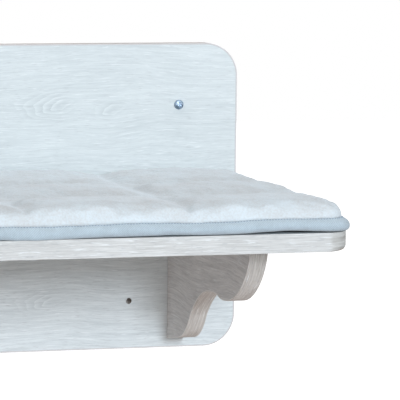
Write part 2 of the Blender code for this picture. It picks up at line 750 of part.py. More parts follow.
def plush_shape(edge_inset, insets):
    """The quilted sheet over the cushion, from its rim at the border seam to its crown."""
    across = QUILT_COLUMNS * PLUSH_STEPS_ACROSS
    deep = QUILT_ROWS * PLUSH_STEPS_DEEP
    lines_x = stations(CUSHION_HALF_WIDTH, [edge_inset + inset for inset in insets], across)
    lines_y = stations(CUSHION_HALF_DEPTH, [edge_inset + inset for inset in insets], deep)
    shape, _ = grid_shape(lines_x, lines_y)
    rim_height = BORDER_HEIGHT + FIT_GAP
    for corner in shape.verts:
        x, y = corner.co.x, corner.co.y
        inset = min(CUSHION_HALF_WIDTH - abs(x), CUSHION_HALF_DEPTH - abs(y))
        rise = quilt_height(x, y) - rim_height
        height = rim_height + rise * roll_share(inset - BORDER_BULGE, PLUSH_ROLL)
        corner.co = (*in_plan(x, y, edge_inset), SHELF_TOP + FIT_GAP + height)
    shape.normal_update()
    return shape


def make_plush_top(parent):
    insets = [share * PLUSH_ROLL for share in PLUSH_RING_SHARES]
    mesh = shape_to_mesh("cushion_plush_top", plush_shape(BORDER_BULGE, insets))
    top = place("cushion_plush_top", mesh, "plush", parent, (0, CUSHION_MIDDLE, 0))
    pile = top.modifiers.new("pile", "SOLIDIFY")
    pile.thickness = PLUSH_THICKNESS
    pile.offset = -1


def make_woven_base(parent):
    """A tray: a flat underside and a rounded border that rises to the sewn rim."""
    insets = [share * BORDER_BULGE for share, _ in BASE_RING_SHARES]
    heights = [share * BORDER_HEIGHT for _, share in BASE_RING_SHARES]
    flat = insets[-1] + BORDER_HEIGHT
    rings = [flat * index / len(insets) for index in range(len(insets))]
    lines_x = stations(CUSHION_HALF_WIDTH, rings, QUILT_COLUMNS)
    lines_y = stations(CUSHION_HALF_DEPTH, rings, QUILT_ROWS)
    shape, ring_of = grid_shape(lines_x, lines_y)
    for corner, ring in ring_of.items():
        corner.co = border_point(corner.co, ring, rings, insets, heights)
    shape.normal_update()
    mesh = shape_to_mesh("cushion_woven_base", shape)
    base = place("cushion_woven_base", mesh, "twill", parent, (0, CUSHION_MIDDLE, 0))
    cloth = base.modifiers.new("cloth", "SOLIDIFY")
    cloth.thickness = BASE_CLOTH_THICKNESS
    cloth.offset = 1


def border_point(flat_point, ring, rings, insets, heights):
    """Where a point of the flat grid stands on the base's rounded border."""
    x, y = flat_point.x, flat_point.y
    if ring >= len(insets):
        return (x, y, SHELF_TOP + FIT_GAP)
    inset = insets[ring]
    grow_x = (CUSHION_HALF_WIDTH - inset) / (CUSHION_HALF_WIDTH - rings[ring])
    grow_y = (CUSHION_HALF_DEPTH - inset) / (CUSHION_HALF_DEPTH - rings[ring])
    return (*in_plan(x * grow_x, y * grow_y, inset), SHELF_TOP + FIT_GAP + heights[ring])


def make_filling(parent):
    """The wadding: it follows the plush from inside and stands on the base's cloth."""
    side = BORDER_BULGE + BASE_CLOTH_THICKNESS + PLUSH_THICKNESS + FILLING_CLEARANCE
    insets = [share * PLUSH_ROLL for share in FILLING_RING_SHARES]
    shape = plush_shape(side, insets)
    sink = PLUSH_THICKNESS + FILLING_CLEARANCE
    normals = [corner.normal.copy() for corner in shape.verts]
    for corner, normal in zip(shape.verts, normals):
        corner.co.z -= sink / max(normal.z, LEAST_UPWARD_SHARE)
    floor = SHELF_TOP + 2 * FIT_GAP + BASE_CLOTH_THICKNESS
    rim = [edge for edge in shape.edges if edge.is_boundary]
    skirt = bmesh.ops.extrude_edge_only(shape, edges=rim)["geom"]
    for item in skirt:
        if isinstance(item, bmesh.types.BMVert):
            item.co.z = floor
    foot = [item for item in skirt if isinstance(item, bmesh.types.BMEdge)]
    bmesh.ops.contextual_create(shape, geom=foot)
    bmesh.ops.recalc_face_normals(shape, faces=shape.faces)
    mesh = shape_to_mesh("cushion_filling", shape)
    place("cushion_filling", mesh, "wadding", parent, (0, CUSHION_MIDDLE, 0))


def make_cushion(parent):
    make_woven_base(parent)
    make_filling(parent)
    make_plush_top(parent)


def place_empty(name, parent=None):
    point = bpy.data.objects.new(name, None)
    point.parent = parent
    bpy.data.collections[BED].objects.link(point)
    return point


def build():
    clear_startup_objects()
    add_collections()
    wall_unit = place_empty("wall_unit")
    cushion = place_empty("cushion_lift", wall_unit)
    board = make_back_board(wall_unit)
    shelf = make_shelf_board(wall_unit)
    brackets = {
        "left": make_bracket("left", -BRACKET_MIDDLE, wall_unit),
        "right": make_bracket("right", BRACKET_MIDDLE, wall_unit),
    }
    drill_wall_holes(board)
    make_wall_fixings(wall_unit)
    make_panel_screws(board, shelf, brackets, wall_unit)
    make_dowels(board, shelf, brackets, wall_unit)
    make_cushion(cushion)


build()
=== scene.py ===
# %% [markdown]
# A cat bed that hangs on the wall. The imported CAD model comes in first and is
# the fixed frame of everything here: metres, +Z up, the front faces -Y, and
# the origin is the middle of the back board's rear face. The boards, their
# edging and the fixings keep their CAD shapes and get finishes. The cushion is
# made anew, because cloth needs more shape than a CAD solid has.

# %% Load the frame
import math

import bmesh
import bpy
from mathutils import Matrix, Vector, noise


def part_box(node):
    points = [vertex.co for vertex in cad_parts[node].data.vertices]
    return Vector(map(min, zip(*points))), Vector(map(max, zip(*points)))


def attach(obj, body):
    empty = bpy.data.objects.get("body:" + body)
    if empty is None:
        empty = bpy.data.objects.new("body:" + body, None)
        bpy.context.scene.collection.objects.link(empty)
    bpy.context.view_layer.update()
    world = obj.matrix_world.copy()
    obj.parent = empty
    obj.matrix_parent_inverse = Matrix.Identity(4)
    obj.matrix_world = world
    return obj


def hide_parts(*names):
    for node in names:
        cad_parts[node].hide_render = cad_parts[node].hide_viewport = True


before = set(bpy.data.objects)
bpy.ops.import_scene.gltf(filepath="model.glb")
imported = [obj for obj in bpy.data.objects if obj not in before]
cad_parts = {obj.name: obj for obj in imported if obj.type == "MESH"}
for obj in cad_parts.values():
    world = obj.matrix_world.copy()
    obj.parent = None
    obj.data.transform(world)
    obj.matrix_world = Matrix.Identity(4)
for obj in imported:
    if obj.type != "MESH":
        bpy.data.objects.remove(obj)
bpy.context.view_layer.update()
MM = 0.001
ACROSS, DEEP, UP = (1, 0, 0), (0, 1, 0), (0, 0, 1)

# %% [markdown]
# The camera. The product photo was taken from the left and a little above,
# from far away with a long lens: the shelf's sides hardly converge. A lens of
# about 300 mm at three metres gives the same flat perspective. The camera looks
# at a point on the wall to the right of the middle, so that the left end of
# the bed runs out of the picture, and it is rolled a little, as the photo is.

# %% Camera
LOOK_AT = Vector((0.2507, 0.0, -0.0061))
CAMERA_DISTANCE = 3.112
CAMERA_AZIMUTH = math.radians(-17.80)
CAMERA_ELEVATION = math.radians(5.915)
CAMERA_ROLL = math.radians(0.644)
LENS_MM = 302.7


def direction(azimuth, elevation):
    """The way back from the object to someone who stands there."""
    flat = math.cos(elevation)
    return Vector((math.sin(azimuth) * flat, -math.cos(azimuth) * flat, math.sin(elevation)))


def add_camera():
    back = direction(CAMERA_AZIMUTH, CAMERA_ELEVATION)
    right = Vector((math.cos(CAMERA_AZIMUTH), math.sin(CAMERA_AZIMUTH), 0))
    level = Matrix((right, back.cross(right), back)).transposed()
    bpy.ops.object.camera_add(location=LOOK_AT + back * CAMERA_DISTANCE)
    camera = bpy.context.object
    camera.rotation_euler = (level @ Matrix.Rotation(CAMERA_ROLL, 3, "Z")).to_euler()
    camera.data.lens = LENS_MM
    return camera


bpy.context.scene.camera = add_camera()
print("camera at", [round(value, 3) for value in bpy.context.scene.camera.location])

# %% [markdown]
# Every finish here is a graph of nodes, as it could be drawn in the shader
# editor. In code that takes the same few moves again and again: add a node,
# give it values or links, hand on what comes out. Each move gets a short
# helper, so that a finish reads as a list of steps.

# %% Nodes: helpers for every finish
def new_material(name):
    material = bpy.data.materials.new(name)
    material.use_nodes = True
    material.node_tree.nodes.clear()
    return material, material.node_tree


def add_node(tree, kind, **settings):
    """A node with its settings and, under inputs=, its unlinked values or its links."""
    inputs = settings.pop("inputs", {})
    node = tree.nodes.new(kind)
    for name, value in settings.items():
        setattr(node, name, value)
    for name, value in inputs.items():
        if isinstance(value, bpy.types.NodeSocket):
            tree.links.new(value, node.inputs[name])
        else:
            node.inputs[name].default_value = value
    return node


def math_node(tree, operation, *values, clamp=False):
    inputs = dict(enumerate(values))
    node = add_node(tree, "ShaderNodeMath", operation=operation, use_clamp=clamp, inputs=inputs)
    return node.outputs[0]


def vector_node(tree, operation, *values, output=0):
    inputs = dict(enumerate(values))
    node = add_node(tree, "ShaderNodeVectorMath", operation=operation, inputs=inputs)
    return node.outputs[output]


def dot(tree, first, second):
    return vector_node(tree, "DOT_PRODUCT", first, second, output="Value")


def stretch(tree, vector, rates):
    return vector_node(tree, "MULTIPLY", vector, rates)


def times(tree, *values, clamp=False):
    return math_node(tree, "MULTIPLY", *values, clamp=clamp)


def join(tree, **axes):
    return add_node(tree, "ShaderNodeCombineXYZ", inputs=axes).outputs[0]


def split(tree, vector):
    return add_node(tree, "ShaderNodeSeparateXYZ", inputs={"Vector": vector}).outputs


def map_range(tree, value, low, high, to_low=0.0, to_high=1.0, smooth=False):
    inputs = {"Value": value, "From Min": low, "From Max": high, "To Min": to_low, "To Max": to_high}
    kind = "SMOOTHSTEP" if smooth else "LINEAR"
    return add_node(tree, "ShaderNodeMapRange", interpolation_type=kind, inputs=inputs).outputs[0]


def mix_value(tree, share, first, second):
    return add_node(tree, "ShaderNodeMix", inputs={0: share, 2: first, 3: second}).outputs[0]


def mix_colour(tree, share, first, second, blend="MIX"):
    """Each colour is a link, or red, green and blue."""
    pair = [(*each, 1) if isinstance(each, tuple) else each for each in (first, second)]
    inputs = {0: share, 6: pair[0], 7: pair[1]}
    node = add_node(tree, "ShaderNodeMix", data_type="RGBA", blend_type=blend, inputs=inputs)
    return node.outputs[2]


def noise_at(tree, vector, scale=1.0, detail=3.0, roughness=0.5, distortion=0.0):
    inputs = {"Scale": scale, "Detail": detail, "Roughness": roughness, "Distortion": distortion}
    return add_node(tree, "ShaderNodeTexNoise", inputs={"Vector": vector, **inputs}).outputs[0]


def show(tree, shader, kind="ShaderNodeOutputMaterial"):
    add_node(tree, kind, inputs={"Surface": shader.outputs[0]})


# %% [markdown]
# The studio. The bed hangs well above a plain pale floor. A cool soft lamp
# stands four metres in front, a little to the right and above, and leaves the
# underside of the shelf and the left faces of the brackets in shade. Two weaker
# lamps and a warm grey world fill the shade, and a faint reddish light from
# below tints what faces down. The world is white only to the camera and in
# reflections, and the floor only to the camera: that whites out the background
# without throwing more light on the bed. To a camera below it the floor is
# clear, and one more lamp lights the back.

# %% Floor
FLOOR_HEIGHT = -0.95
FLOOR_SIZE = 24.0
FLOOR_GREY = (0.62, 0.62, 0.62)
WHITE = (1, 1, 1)


def add_floor():
    bpy.ops.mesh.primitive_plane_add(size=FLOOR_SIZE, location=(0, 0, FLOOR_HEIGHT))
    floor = bpy.context.object
    floor.name = "studio_floor"
    paint, tree = new_material("studio_floor_paint")
    camera = add_node(tree, "ShaderNodeLightPath").outputs["Is Camera Ray"]
    below = add_node(tree, "ShaderNodeNewGeometry").outputs["Backfacing"]
    matt = add_node(tree, "ShaderNodeBsdfDiffuse", inputs={"Color": (*FLOOR_GREY, 1)})
    glow = add_node(tree, "ShaderNodeEmission", inputs={"Color": (*WHITE, 1), "Strength": camera})
    both = {0: matt.outputs[0], 1: glow.outputs[0]}
    sides = {
        0: times(tree, camera, below),
        1: add_node(tree, "ShaderNodeAddShader", inputs=both).outputs[0],
        2: add_node(tree, "ShaderNodeBsdfTransparent").outputs[0],
    }
    show(tree, add_node(tree, "ShaderNodeMixShader", inputs=sides))
    floor.data.materials.append(paint)


add_floor()
print("floor at", FLOOR_HEIGHT)

# %% World and lamps
AMBIENT = 0.338
AMBIENT_COLOUR = (0.97, 0.935, 0.91)
LAMPS_AIM = Vector((0, -0.15, 0))


def light_world():
    world = bpy.data.worlds.new("studio_world")
    world.use_nodes = True
    tree = world.node_tree
    tree.nodes.clear()
    rays = add_node(tree, "ShaderNodeLightPath").outputs
    seen = math_node(tree, "MAXIMUM", rays["Is Camera Ray"], rays["Is Glossy Ray"])
    seen = math_node(tree, "MAXIMUM", seen, rays["Is Transmission Ray"])
    sky = {
        "Color": mix_colour(tree, seen, AMBIENT_COLOUR, WHITE),
        "Strength": map_range(tree, seen, 0.0, 1.0, AMBIENT, 1.0),
    }
    show(tree, add_node(tree, "ShaderNodeBackground", inputs=sky), "ShaderNodeOutputWorld")
    bpy.context.scene.world = world


def add_lamp(name, azimuth, elevation, distance, size, watts, colour):
    back = direction(math.radians(azimuth), math.radians(elevation))
    bpy.ops.object.light_add(type="AREA", location=LAMPS_AIM + back * distance)
    lamp = bpy.context.object
    lamp.name = name
    lamp.rotation_euler = back.to_track_quat("Z", "Y").to_euler()
    lamp.data.size = size
    lamp.data.energy = watts
    lamp.data.color = colour


bpy.context.scene.view_settings.view_transform = "Standard"
light_world()
add_lamp("soft_box", 8, 13.2, 4.0, 0.75, 115, (0.915, 1.0, 1.10))
add_lamp("side_fill", -52, 6, 2.6, 1.4, 5.4, (0.98, 0.94, 0.90))
add_lamp("overhead", 0, 80, 2.0, 1.6, 7, WHITE)
add_lamp("floor_bounce", 10, -82, 0.85, 0.8, 0.95, (1.0, 0.38, 0.16))
add_lamp("rear_fill", 172, 3, 4.0, 0.75, 48, (0.96, 1.0, 1.03))
print("lamps:", len(bpy.data.lights))

# %% [markdown]
# The boards are chipboard with a printed film of bleached oak. The film shows
# long fine streaks along the grain, short darker pores, and in places the
# nested ovals that a saw leaves where it passes the middle of a trunk. The
# first two are noise drawn out along the grain. The ovals are rings round a
# chosen middle, squeezed and bent a little, that fade away from it. Each board
# has its own grain direction, so the pattern works on two numbers, the
# distance along the grain and across it, and both are read off the board.

# %% Group: distances along and across the grain
WANDER = 0.011
WANDER_RATE = (7.0, 13.0, 1.0)


def new_group(name, inputs, outputs, output_kind="NodeSocketFloat"):
    """inputs gives each number its value, and None for a vector."""
    group = bpy.data.node_groups.new(name, "ShaderNodeTree")
    for label, value in inputs.items():
        kind = "NodeSocketVector" if value is None else "NodeSocketFloat"
        socket = group.interface.new_socket(label, in_out="INPUT", socket_type=kind)
        if value is not None:
            socket.default_value = value
    for label in outputs:
        group.interface.new_socket(label, in_out="OUTPUT", socket_type=output_kind)
    given, out = add_node(group, "NodeGroupInput"), add_node(group, "NodeGroupOutput")
    return group, given.outputs, out.inputs


def place_group(tree, group, **inputs):
    named = {name.capitalize(): value for name, value in inputs.items()}
    return add_node(tree, "ShaderNodeGroup", node_tree=group, inputs=named).outputs


def make_grain_group():
    """Distances along and across the grain, which wanders a little sideways."""
    inputs = {"Place": None, "Along": None, "Across": None, "Wander": WANDER}
    group, given, out = new_group("grain_distances", inputs, ["Grain"], "NodeSocketVector")
    along = dot(group, given["Place"], given["Along"])
    across = dot(group, given["Place"], given["Across"])
    grain = join(group, X=along, Y=across)
    slow = noise_at(group, stretch(group, grain, WANDER_RATE), detail=1.0)
    sideways = map_range(group, slow, 0.0, 1.0, -1.0, 1.0)
    shift = join(group, Y=times(group, sideways, given["Wander"]))
    group.links.new(vector_node(group, "ADD", grain, shift), out["Grain"])
    return group


GRAIN = make_grain_group()
print(GRAIN.name, len(GRAIN.nodes), "nodes")

# %% Group: one oval figure of the grain
FIGURE_SQUEEZE = (0.36, 1.0, 0.0)
RING_SCALE = 100.0
RING_SHARPNESS = 1.6
# How fast the rings waver along and across the grain, and how far they bend
WAVER_RATE = (16.0, 70.0, 1.0)
WAVER_BEND = 12 * MM
# The figure runs out from its middle to the right over this stretch
RUN_OUT = (-6 * MM, 16 * MM)


def make_figure_group():
    """Rings round a middle: thin pale lines on darker wood that fade away from it."""
    inputs = {"Grain": None, "Middle": None, "Reach": 20 * MM}
    group, given, out = new_group("oak_figure", inputs, ["Rings", "Share"])
    off = vector_node(group, "SUBTRACT", given["Grain"], given["Middle"])
    waver = noise_at(group, stretch(group, off, WAVER_RATE), detail=3.0)
    bend = times(group, math_node(group, "SUBTRACT", waver, 0.5), WAVER_BEND)
    squeezed = stretch(group, off, FIGURE_SQUEEZE)
    bent = vector_node(group, "ADD", squeezed, join(group, X=bend, Y=bend))
    rings = add_node(
        group,
        "ShaderNodeTexWave",
        wave_type="RINGS",
        rings_direction="SPHERICAL",
        wave_profile="SAW",
        inputs={"Vector": bent, "Scale": RING_SCALE, "Distortion": 1.0, "Detail": 2.0},
    )
    sharp = math_node(group, "POWER", rings.outputs["Fac"], RING_SHARPNESS)
    group.links.new(sharp, out["Rings"])
    far = vector_node(group, "LENGTH", bent, output="Value")
    near = map_range(group, far, given["Reach"], 0.0, smooth=True)
    left = map_range(group, split(group, off)["X"], *RUN_OUT, 1.0, 0.0)
    group.links.new(times(group, near, left), out["Share"])
    return group


FIGURE = make_figure_group()
print(FIGURE.name, len(FIGURE.nodes), "nodes")

# %% Group: streaks, pores and liming
STREAK_ROUGHNESS = 0.6
# For each kind: changes a metre along and across the grain, detail, distortion, and
# the stretch of the noise that is spread from 0 to 1
STREAK_KINDS = {
    "Coarse": (24.0, 300.0, 5.0, 0.4, 0.36, 0.64),
    "Fine": (24.0, 900.0, 4.0, 0.3, 0.36, 0.64),
    "Pores": (105.0, 1000.0, 2.0, 0.0, 0.57, 0.70),
    "Limed": (60.0, 900.0, 2.0, 0.4, 0.58, 0.72),
    "Drift": (5.0, 24.0, 2.0, 0.0, 0.3, 0.7),
}


def make_streak_group():
    group, given, out = new_group("oak_streaks", {"Grain": None}, STREAK_KINDS)
    for label, (along, across, detail, distortion, low, high) in STREAK_KINDS.items():
        place = stretch(group, given["Grain"], (along, across, 1.0))
        streak = noise_at(
            group, place, detail=detail, roughness=STREAK_ROUGHNESS, distortion=distortion
        )
        group.links.new(map_range(group, streak, low, high), out[label])
    return group


STREAKS = make_streak_group()
print(STREAKS.name, len(STREAKS.nodes), "nodes")

# %% [markdown]
# Where a board is cut through, as in the screw holes, the brown chipboard shows
# between two thin films. The finish finds those places by depth: everything
# more than a film's thickness below either face is core. Its chips are small
# angular cells in a few browns. All finishes end alike, in a Principled shader
# with a bump, so that ending is a helper too.

# %% Parts of the boards' finish
FILM = 0.4 * MM
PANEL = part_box("shelf_board")
HALF_PANEL = (PANEL[1][2] - PANEL[0][2]) / 2
LIMED_OAK = (0.83, 0.86, 0.865)
LIMED_SHARE = 0.6
PORE = (0.36, 0.37, 0.375)
CHIP_SCALE = 620.0
CHIP_DARK, CHIP_PALE = (0.13, 0.085, 0.055), (0.36, 0.28, 0.21)
# Strength and depth of the bump that the printed pores are pressed in with
GRAIN_RELIEF = (0.35, 0.06 * MM)


def object_place(tree):
    return add_node(tree, "ShaderNodeTexCoord").outputs["Object"]


def surface(material, colour, roughness, height, relief, settings=None):
    """Ends a finish. relief is the bump's strength and depth.

    settings are values that are the same all over, on the shader's own sockets.
    """
    tree = material.node_tree
    bump = {"Height": height, "Strength": relief[0], "Distance": relief[1]}
    inputs = {
        "Base Color": colour,
        "Roughness": roughness,
        "Normal": add_node(tree, "ShaderNodeBump", inputs=bump).outputs[0],
    }
    inputs.update(settings or {})
    show(tree, add_node(tree, "ShaderNodeBsdfPrincipled", inputs=inputs))
    return material


def chipboard_colour(tree, place):
    chips = add_node(tree, "ShaderNodeTexVoronoi", inputs={"Vector": place, "Scale": CHIP_SCALE})
    tone = add_node(tree, "ShaderNodeSeparateColor", inputs={"Color": chips.outputs["Color"]})
    return mix_colour(tree, tone.outputs[0], CHIP_DARK, CHIP_PALE)


def depth_from_middle(tree, place, axis, middle):
    depth = dot(tree, place, axis)
    return math_node(tree, "ABSOLUTE", math_node(tree, "SUBTRACT", depth, middle))


def oak_colour(tree, streaks, tone, oak, pore_share):
    """oak is its dark and its pale colour."""
    wood = mix_colour(tree, tone, *oak)
    limed = times(tree, streaks["Limed"], LIMED_SHARE)
    wood = mix_colour(tree, limed, wood, LIMED_OAK)
    pores = times(tree, streaks["Pores"], pore_share)
    return mix_colour(tree, pores, wood, PORE)


def dress(material, *nodes):
    for node in nodes:
        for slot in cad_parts[node].material_slots:
            slot.material = material


def middle_of(node, axis):
    low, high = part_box(node)
    return (low[axis] + high[axis]) / 2


print("half a panel:", round(HALF_PANEL / MM, 2), "mm")

# %% Finish of the boards
OAK = (0.500, 0.545, 0.550), (0.745, 0.790, 0.790)
# The brackets' oak is a warmer copy of the board's: a painted warm shade, for faces that lie in the
# shelf's shade.
BRACKET_OAK_PAINTED_SHADE = (0.465, 0.460, 0.455), (0.800, 0.790, 0.775)
MEAN_TONE = 0.55
FINE_SHARE, DRIFT_SHARE, FIGURE_SHARE, PORE_SHARE = 0.4, 0.25, 0.6, 0.4
FILM_ROUGHNESS = (0.60, 0.48)
# The back board's print is weaker above the shelf, and changes over this height
CALM_FROM, CALM_TO = -20 * MM, 30 * MM
CALM = 0.62
# Middles of the ovals along and across the grain, and how far each reaches
BOARD_FIGURES = (
    ((0.113, 0.0845), 0.022),
    ((0.162, 0.0800), 0.009),
    ((0.106, -0.0945), 0.020),
    ((-0.150, 0.060), 0.022),
    ((-0.110, -0.090), 0.016),
)
SHELF_FIGURES = (((0.10, -0.22), 0.022), ((-0.14, -0.10), 0.020))


def make_laminate(name, axes, middle, figures, oak=OAK, calm=1.0):
    """axes run along and across the grain and through the board.

    middle is the board's half-way place on the last of them.
    """
    material, tree = new_material(name)
    place = object_place(tree)
    grain = place_group(tree, GRAIN, place=place, along=axes[0], across=axes[1])[0]
    streaks = place_group(tree, STREAKS, grain=grain)
    tone = mix_value(tree, FINE_SHARE, streaks["Coarse"], streaks["Fine"])
    tone = mix_value(tree, DRIFT_SHARE, tone, streaks["Drift"])
    strength = map_range(tree, split(tree, grain)["Y"], CALM_FROM, CALM_TO, 1.0, calm)
    tone = mix_value(tree, strength, MEAN_TONE, tone)
    for spot, reach in figures:
        figure = place_group(tree, FIGURE, grain=grain, middle=(*spot, 0), reach=reach)
        share = times(tree, figure["Share"], FIGURE_SHARE, clamp=True)
        tone = mix_value(tree, share, tone, figure["Rings"])
    pore_share = times(tree, strength, PORE_SHARE)
    colour = oak_colour(tree, streaks, tone, oak, pore_share)
    off = depth_from_middle(tree, place, axes[2], middle)
    core = math_node(tree, "LESS_THAN", off, HALF_PANEL - FILM)
    colour = mix_colour(tree, core, colour, chipboard_colour(tree, place))
    roughness = map_range(tree, tone, 0.0, 1.0, *FILM_ROUGHNESS)
    height = math_node(tree, "SUBTRACT", tone, streaks["Pores"])
    return surface(material, colour, roughness, height, GRAIN_RELIEF)


middle = middle_of("back_board", 1)
board = make_laminate("board_laminate", (ACROSS, UP, DEEP), middle, BOARD_FIGURES, calm=CALM)
dress(board, "back_board")
middle = middle_of("shelf_board", 2)
dress(make_laminate("shelf_laminate", (ACROSS, DEEP, UP), middle, SHELF_FIGURES), "shelf_board")
for node in ("bracket_left", "bracket_right"):
    axes, middle = (DEEP, UP, ACROSS), middle_of(node, 0)
    dress(make_laminate(f"{node}_laminate", axes, middle, (), oak=BRACKET_OAK_PAINTED_SHADE), node)
print("laminate on 4 boards")

# %% [markdown]
# The cut edges are closed with a plastic band, a millimetre thick, printed
# with a finer and more even oak. From the board's face only the band's own cut
# edge shows, a thin line round the board. The band's streaks run along it,
# round the corners too: its length is read off as a sum of two absolute
# distances, which keeps growing round each corner. Where the shelf's band is
# bent round a corner its print is stretched and shows darker.

# %% Finish of the edging
BAND_EDGE = 0.02 * MM
BAND_WANDER = 0.003
BAND_FINE_SHARE, BAND_PORE_SHARE = 0.75, 0.6
BAND_ROUGHNESS = (0.56, 0.44)
STRETCHED_DARK, STRETCHED_PALE = (0.32, 0.31, 0.28), (0.60, 0.595, 0.57)
# The stretched print comes in over BEND_RUN, up to BEND_SHARE
SHELF_BENDS_FROM, BEND_RUN, BEND_SHARE = 259 * MM, 3 * MM, 0.8
NO_BEND = 9.0
# Each band's oak, and the colour of its own edge beside the board's face
BOARD_BAND = ((0.52, 0.47, 0.44), (0.70, 0.65, 0.62)), (0.60, 0.58, 0.57)
SHELF_BAND = ((0.445, 0.440, 0.420), (0.660, 0.660, 0.640)), (0.60, 0.58, 0.55)
# On the brackets the band's oak is warmer, a painted warm shade, and its own edge is pale, a painted
# highlight along the arris.
BRACKET_BAND_PAINTED_LIGHT = ((0.445, 0.425, 0.390), (0.660, 0.650, 0.610)), (0.80, 0.78, 0.76)


def make_edging(name, along, across, middle, colours, bends_from=NO_BEND):
    oak, cut = colours
    material, tree = new_material(name)
    turned = vector_node(tree, "ABSOLUTE", object_place(tree))
    inputs = {"place": turned, "along": along, "across": across, "wander": BAND_WANDER}
    streaks = place_group(tree, STREAKS, grain=place_group(tree, GRAIN, **inputs)[0])
    tone = mix_value(tree, BAND_FINE_SHARE, streaks["Coarse"], streaks["Fine"])
    colour = oak_colour(tree, streaks, tone, oak, BAND_PORE_SHARE)
    bends_to = bends_from + BEND_RUN
    bent = map_range(tree, split(tree, turned)["X"], bends_from, bends_to, 0.0, BEND_SHARE)
    stretched = mix_colour(tree, streaks["Coarse"], STRETCHED_DARK, STRETCHED_PALE)
    colour = mix_colour(tree, bent, colour, stretched)
    off = depth_from_middle(tree, turned, across, middle)
    edge = math_node(tree, "GREATER_THAN", off, HALF_PANEL - BAND_EDGE)
    colour = mix_colour(tree, edge, colour, cut)
    roughness = map_range(tree, tone, 0.0, 1.0, *BAND_ROUGHNESS)
    height = math_node(tree, "SUBTRACT", tone, streaks["Pores"])
    return surface(material, colour, roughness, height, GRAIN_RELIEF)


edging = make_edging("board_edging", (1, 0, -1), DEEP, HALF_PANEL, BOARD_BAND)
dress(edging, "back_board_edging")
edging = make_edging("shelf_edging", (1, -1, 0), UP, HALF_PANEL, SHELF_BAND, SHELF_BENDS_FROM)
dress(edging, "shelf_edging")
middle = middle_of("bracket_right", 0)
edging = make_edging("bracket_edging", (0, -1, 1), ACROSS, middle, BRACKET_BAND_PAINTED_LIGHT)
dress(edging, "bracket_left_edging", "bracket_right_edging")
print("edging on 4 bands")

# %% [markdown]
# The cushion. A plush cover is quilted to a woven base in four columns and
# three rows, with wadding between them, and the two covers are sewn together
# along a seam that runs round the top of the woven border. Cloth in such a
# shape is pulled down where it is sewn and blown up by the wadding between the
# seams, so it is made that way here too. A closed blank is laid out with a
# line of points along every seam, those points are pinned, and a cloth
# simulation with a little air pressure inside lifts the rest. The cloth is cut
# slightly too large, which makes it pucker at the seams as real quilting does.

# %% Cushion: lines of points
HALF_WIDTH = 282.0 * MM
REAR, FRONT = -20.0 * MM, -335.3 * MM
HALF_DEPTH = (REAR - FRONT) / 2
MIDDLE = (REAR + FRONT) / 2
RIM_INSET = 7.0 * MM
SEAMS_X = [x * MM for x in (-139.5, 0.0, 139.5)]
SEAMS_Y = [y * MM for y in (-52.5, 52.5)]
RIM_STEPS = [d * MM for d in (0.0, 0.7, 1.8, 3.4, 5.6, 8.6, 12.2)]
PITCH = 4.0 * MM


def cloth_lines(half, seams):
    """Where lines of points lie: one on each seam, and closer together at the rim."""
    reach = half - RIM_INSET
    stops = [RIM_STEPS[-1] - reach, *seams, reach - RIM_STEPS[-1]]
    lines = [step - reach for step in RIM_STEPS]
    for start, end in zip(stops, stops[1:]):
        count = round((end - start) / PITCH)
        lines += [start + (end - start) * (index + 1) / count for index in range(count)]
    return lines + [reach - step for step in RIM_STEPS[-2::-1]]


LINES_X = cloth_lines(HALF_WIDTH, SEAMS_X)
LINES_Y = cloth_lines(HALF_DEPTH, SEAMS_Y)
print("lines of cloth points:", len(LINES_X), "across,", len(LINES_Y), "deep")

# %% [markdown]
# The blank starts as a grid for the plush. Its rim is extruded downwards in
# rings for the border. Then every point is put in its place: the plush low
# along the seams and a little higher between them, the border bulging, its
# foot tucked under.
#
# Nothing about a stuffed border is straight, and in the photo the front shows
# it. The sewn rim is lowest near the middle. There the border also hangs a
# little below the shelf's top, in front of the shelf's edge. Towards the right
# end its foot stands off the shelf and leaves a dark gap. Two short tables of
# heights along the front say so, and a third tells how deep the plush slopes
# down to its front rim.

# %% Cushion: the border's tables
FRONT_BAND = 30.0 * MM
# The border from its sewn rim to under its foot: (inset in mm, share of its height)
BORDER = (
    (7.0, 1.0), (4.7, 0.95), (2.2, 0.83), (0.7, 0.65), (0.1, 0.48), (0.1, 0.32),
    (0.7, 0.17), (1.9, 0.06), (3.8, 0.01), (9.0, 0.0), (26.0, 0.0),
)
# (x, height) in mm of the sewn rim along the front, and its height at the sides
RIM = (
    (-282, 11.8), (-200, 11.0), (-120, 10.3), (-21, 9.9), (0, 9.4), (18, 9.0), (36, 9.3),
    (60, 9.9), (85, 10.6), (115, 10.4), (138, 9.6), (160, 9.9), (176, 10.3), (190, 11.2),
    (204, 11.8), (222, 12.0), (250, 11.6), (282, 12.0),
)
SIDE_RIM = 11.8
# (x, shift) in mm of the border's foot along the front
FOOT = (
    (-282, 0.5), (-230, 1.2), (-180, 0.4), (-120, -0.4), (-60, -0.2), (-24, -0.4), (-8, -1.5),
    (5, -1.9), (20, -1.4), (35, -0.8), (50, -0.1), (70, 0.2), (100, 0.5), (118, 0.9),
    (140, 0.4), (152, 0.1), (168, 0.2), (185, 0.6), (200, 1.7), (222, 2.6), (232, 2.2),
    (246, 1.4), (261, 0.7), (282, 0.2),
)
# Where the foot hangs below the shelf's top, how far it comes forward for each mm
HANG_OUT = 0.9


def table_value(table, place):
    for (low, value), (high, after) in zip(table, table[1:]):
        if place <= high:
            share = min(max((place - low) / (high - low), 0), 1)
            return value + (after - value) * share * share * (3 - 2 * share)
    return table[-1][1]


def front_share(y):
    """1 at the cushion's front, 0 from FRONT_BAND behind it."""
    return min(max((FRONT_BAND - HALF_DEPTH - y) / FRONT_BAND, 0), 1)


def rim_height(x, y):
    front = table_value(RIM, x / MM)
    return (SIDE_RIM + (front - SIDE_RIM) * front_share(y)) * MM


print("rim at the front:", min(z for x, z in RIM), "to", max(z for x, z in RIM), "mm")

# %% Cushion: its outline and border
CORNER_RADIUS = 24.0 * MM
DRAW_IN = 2.0 * MM


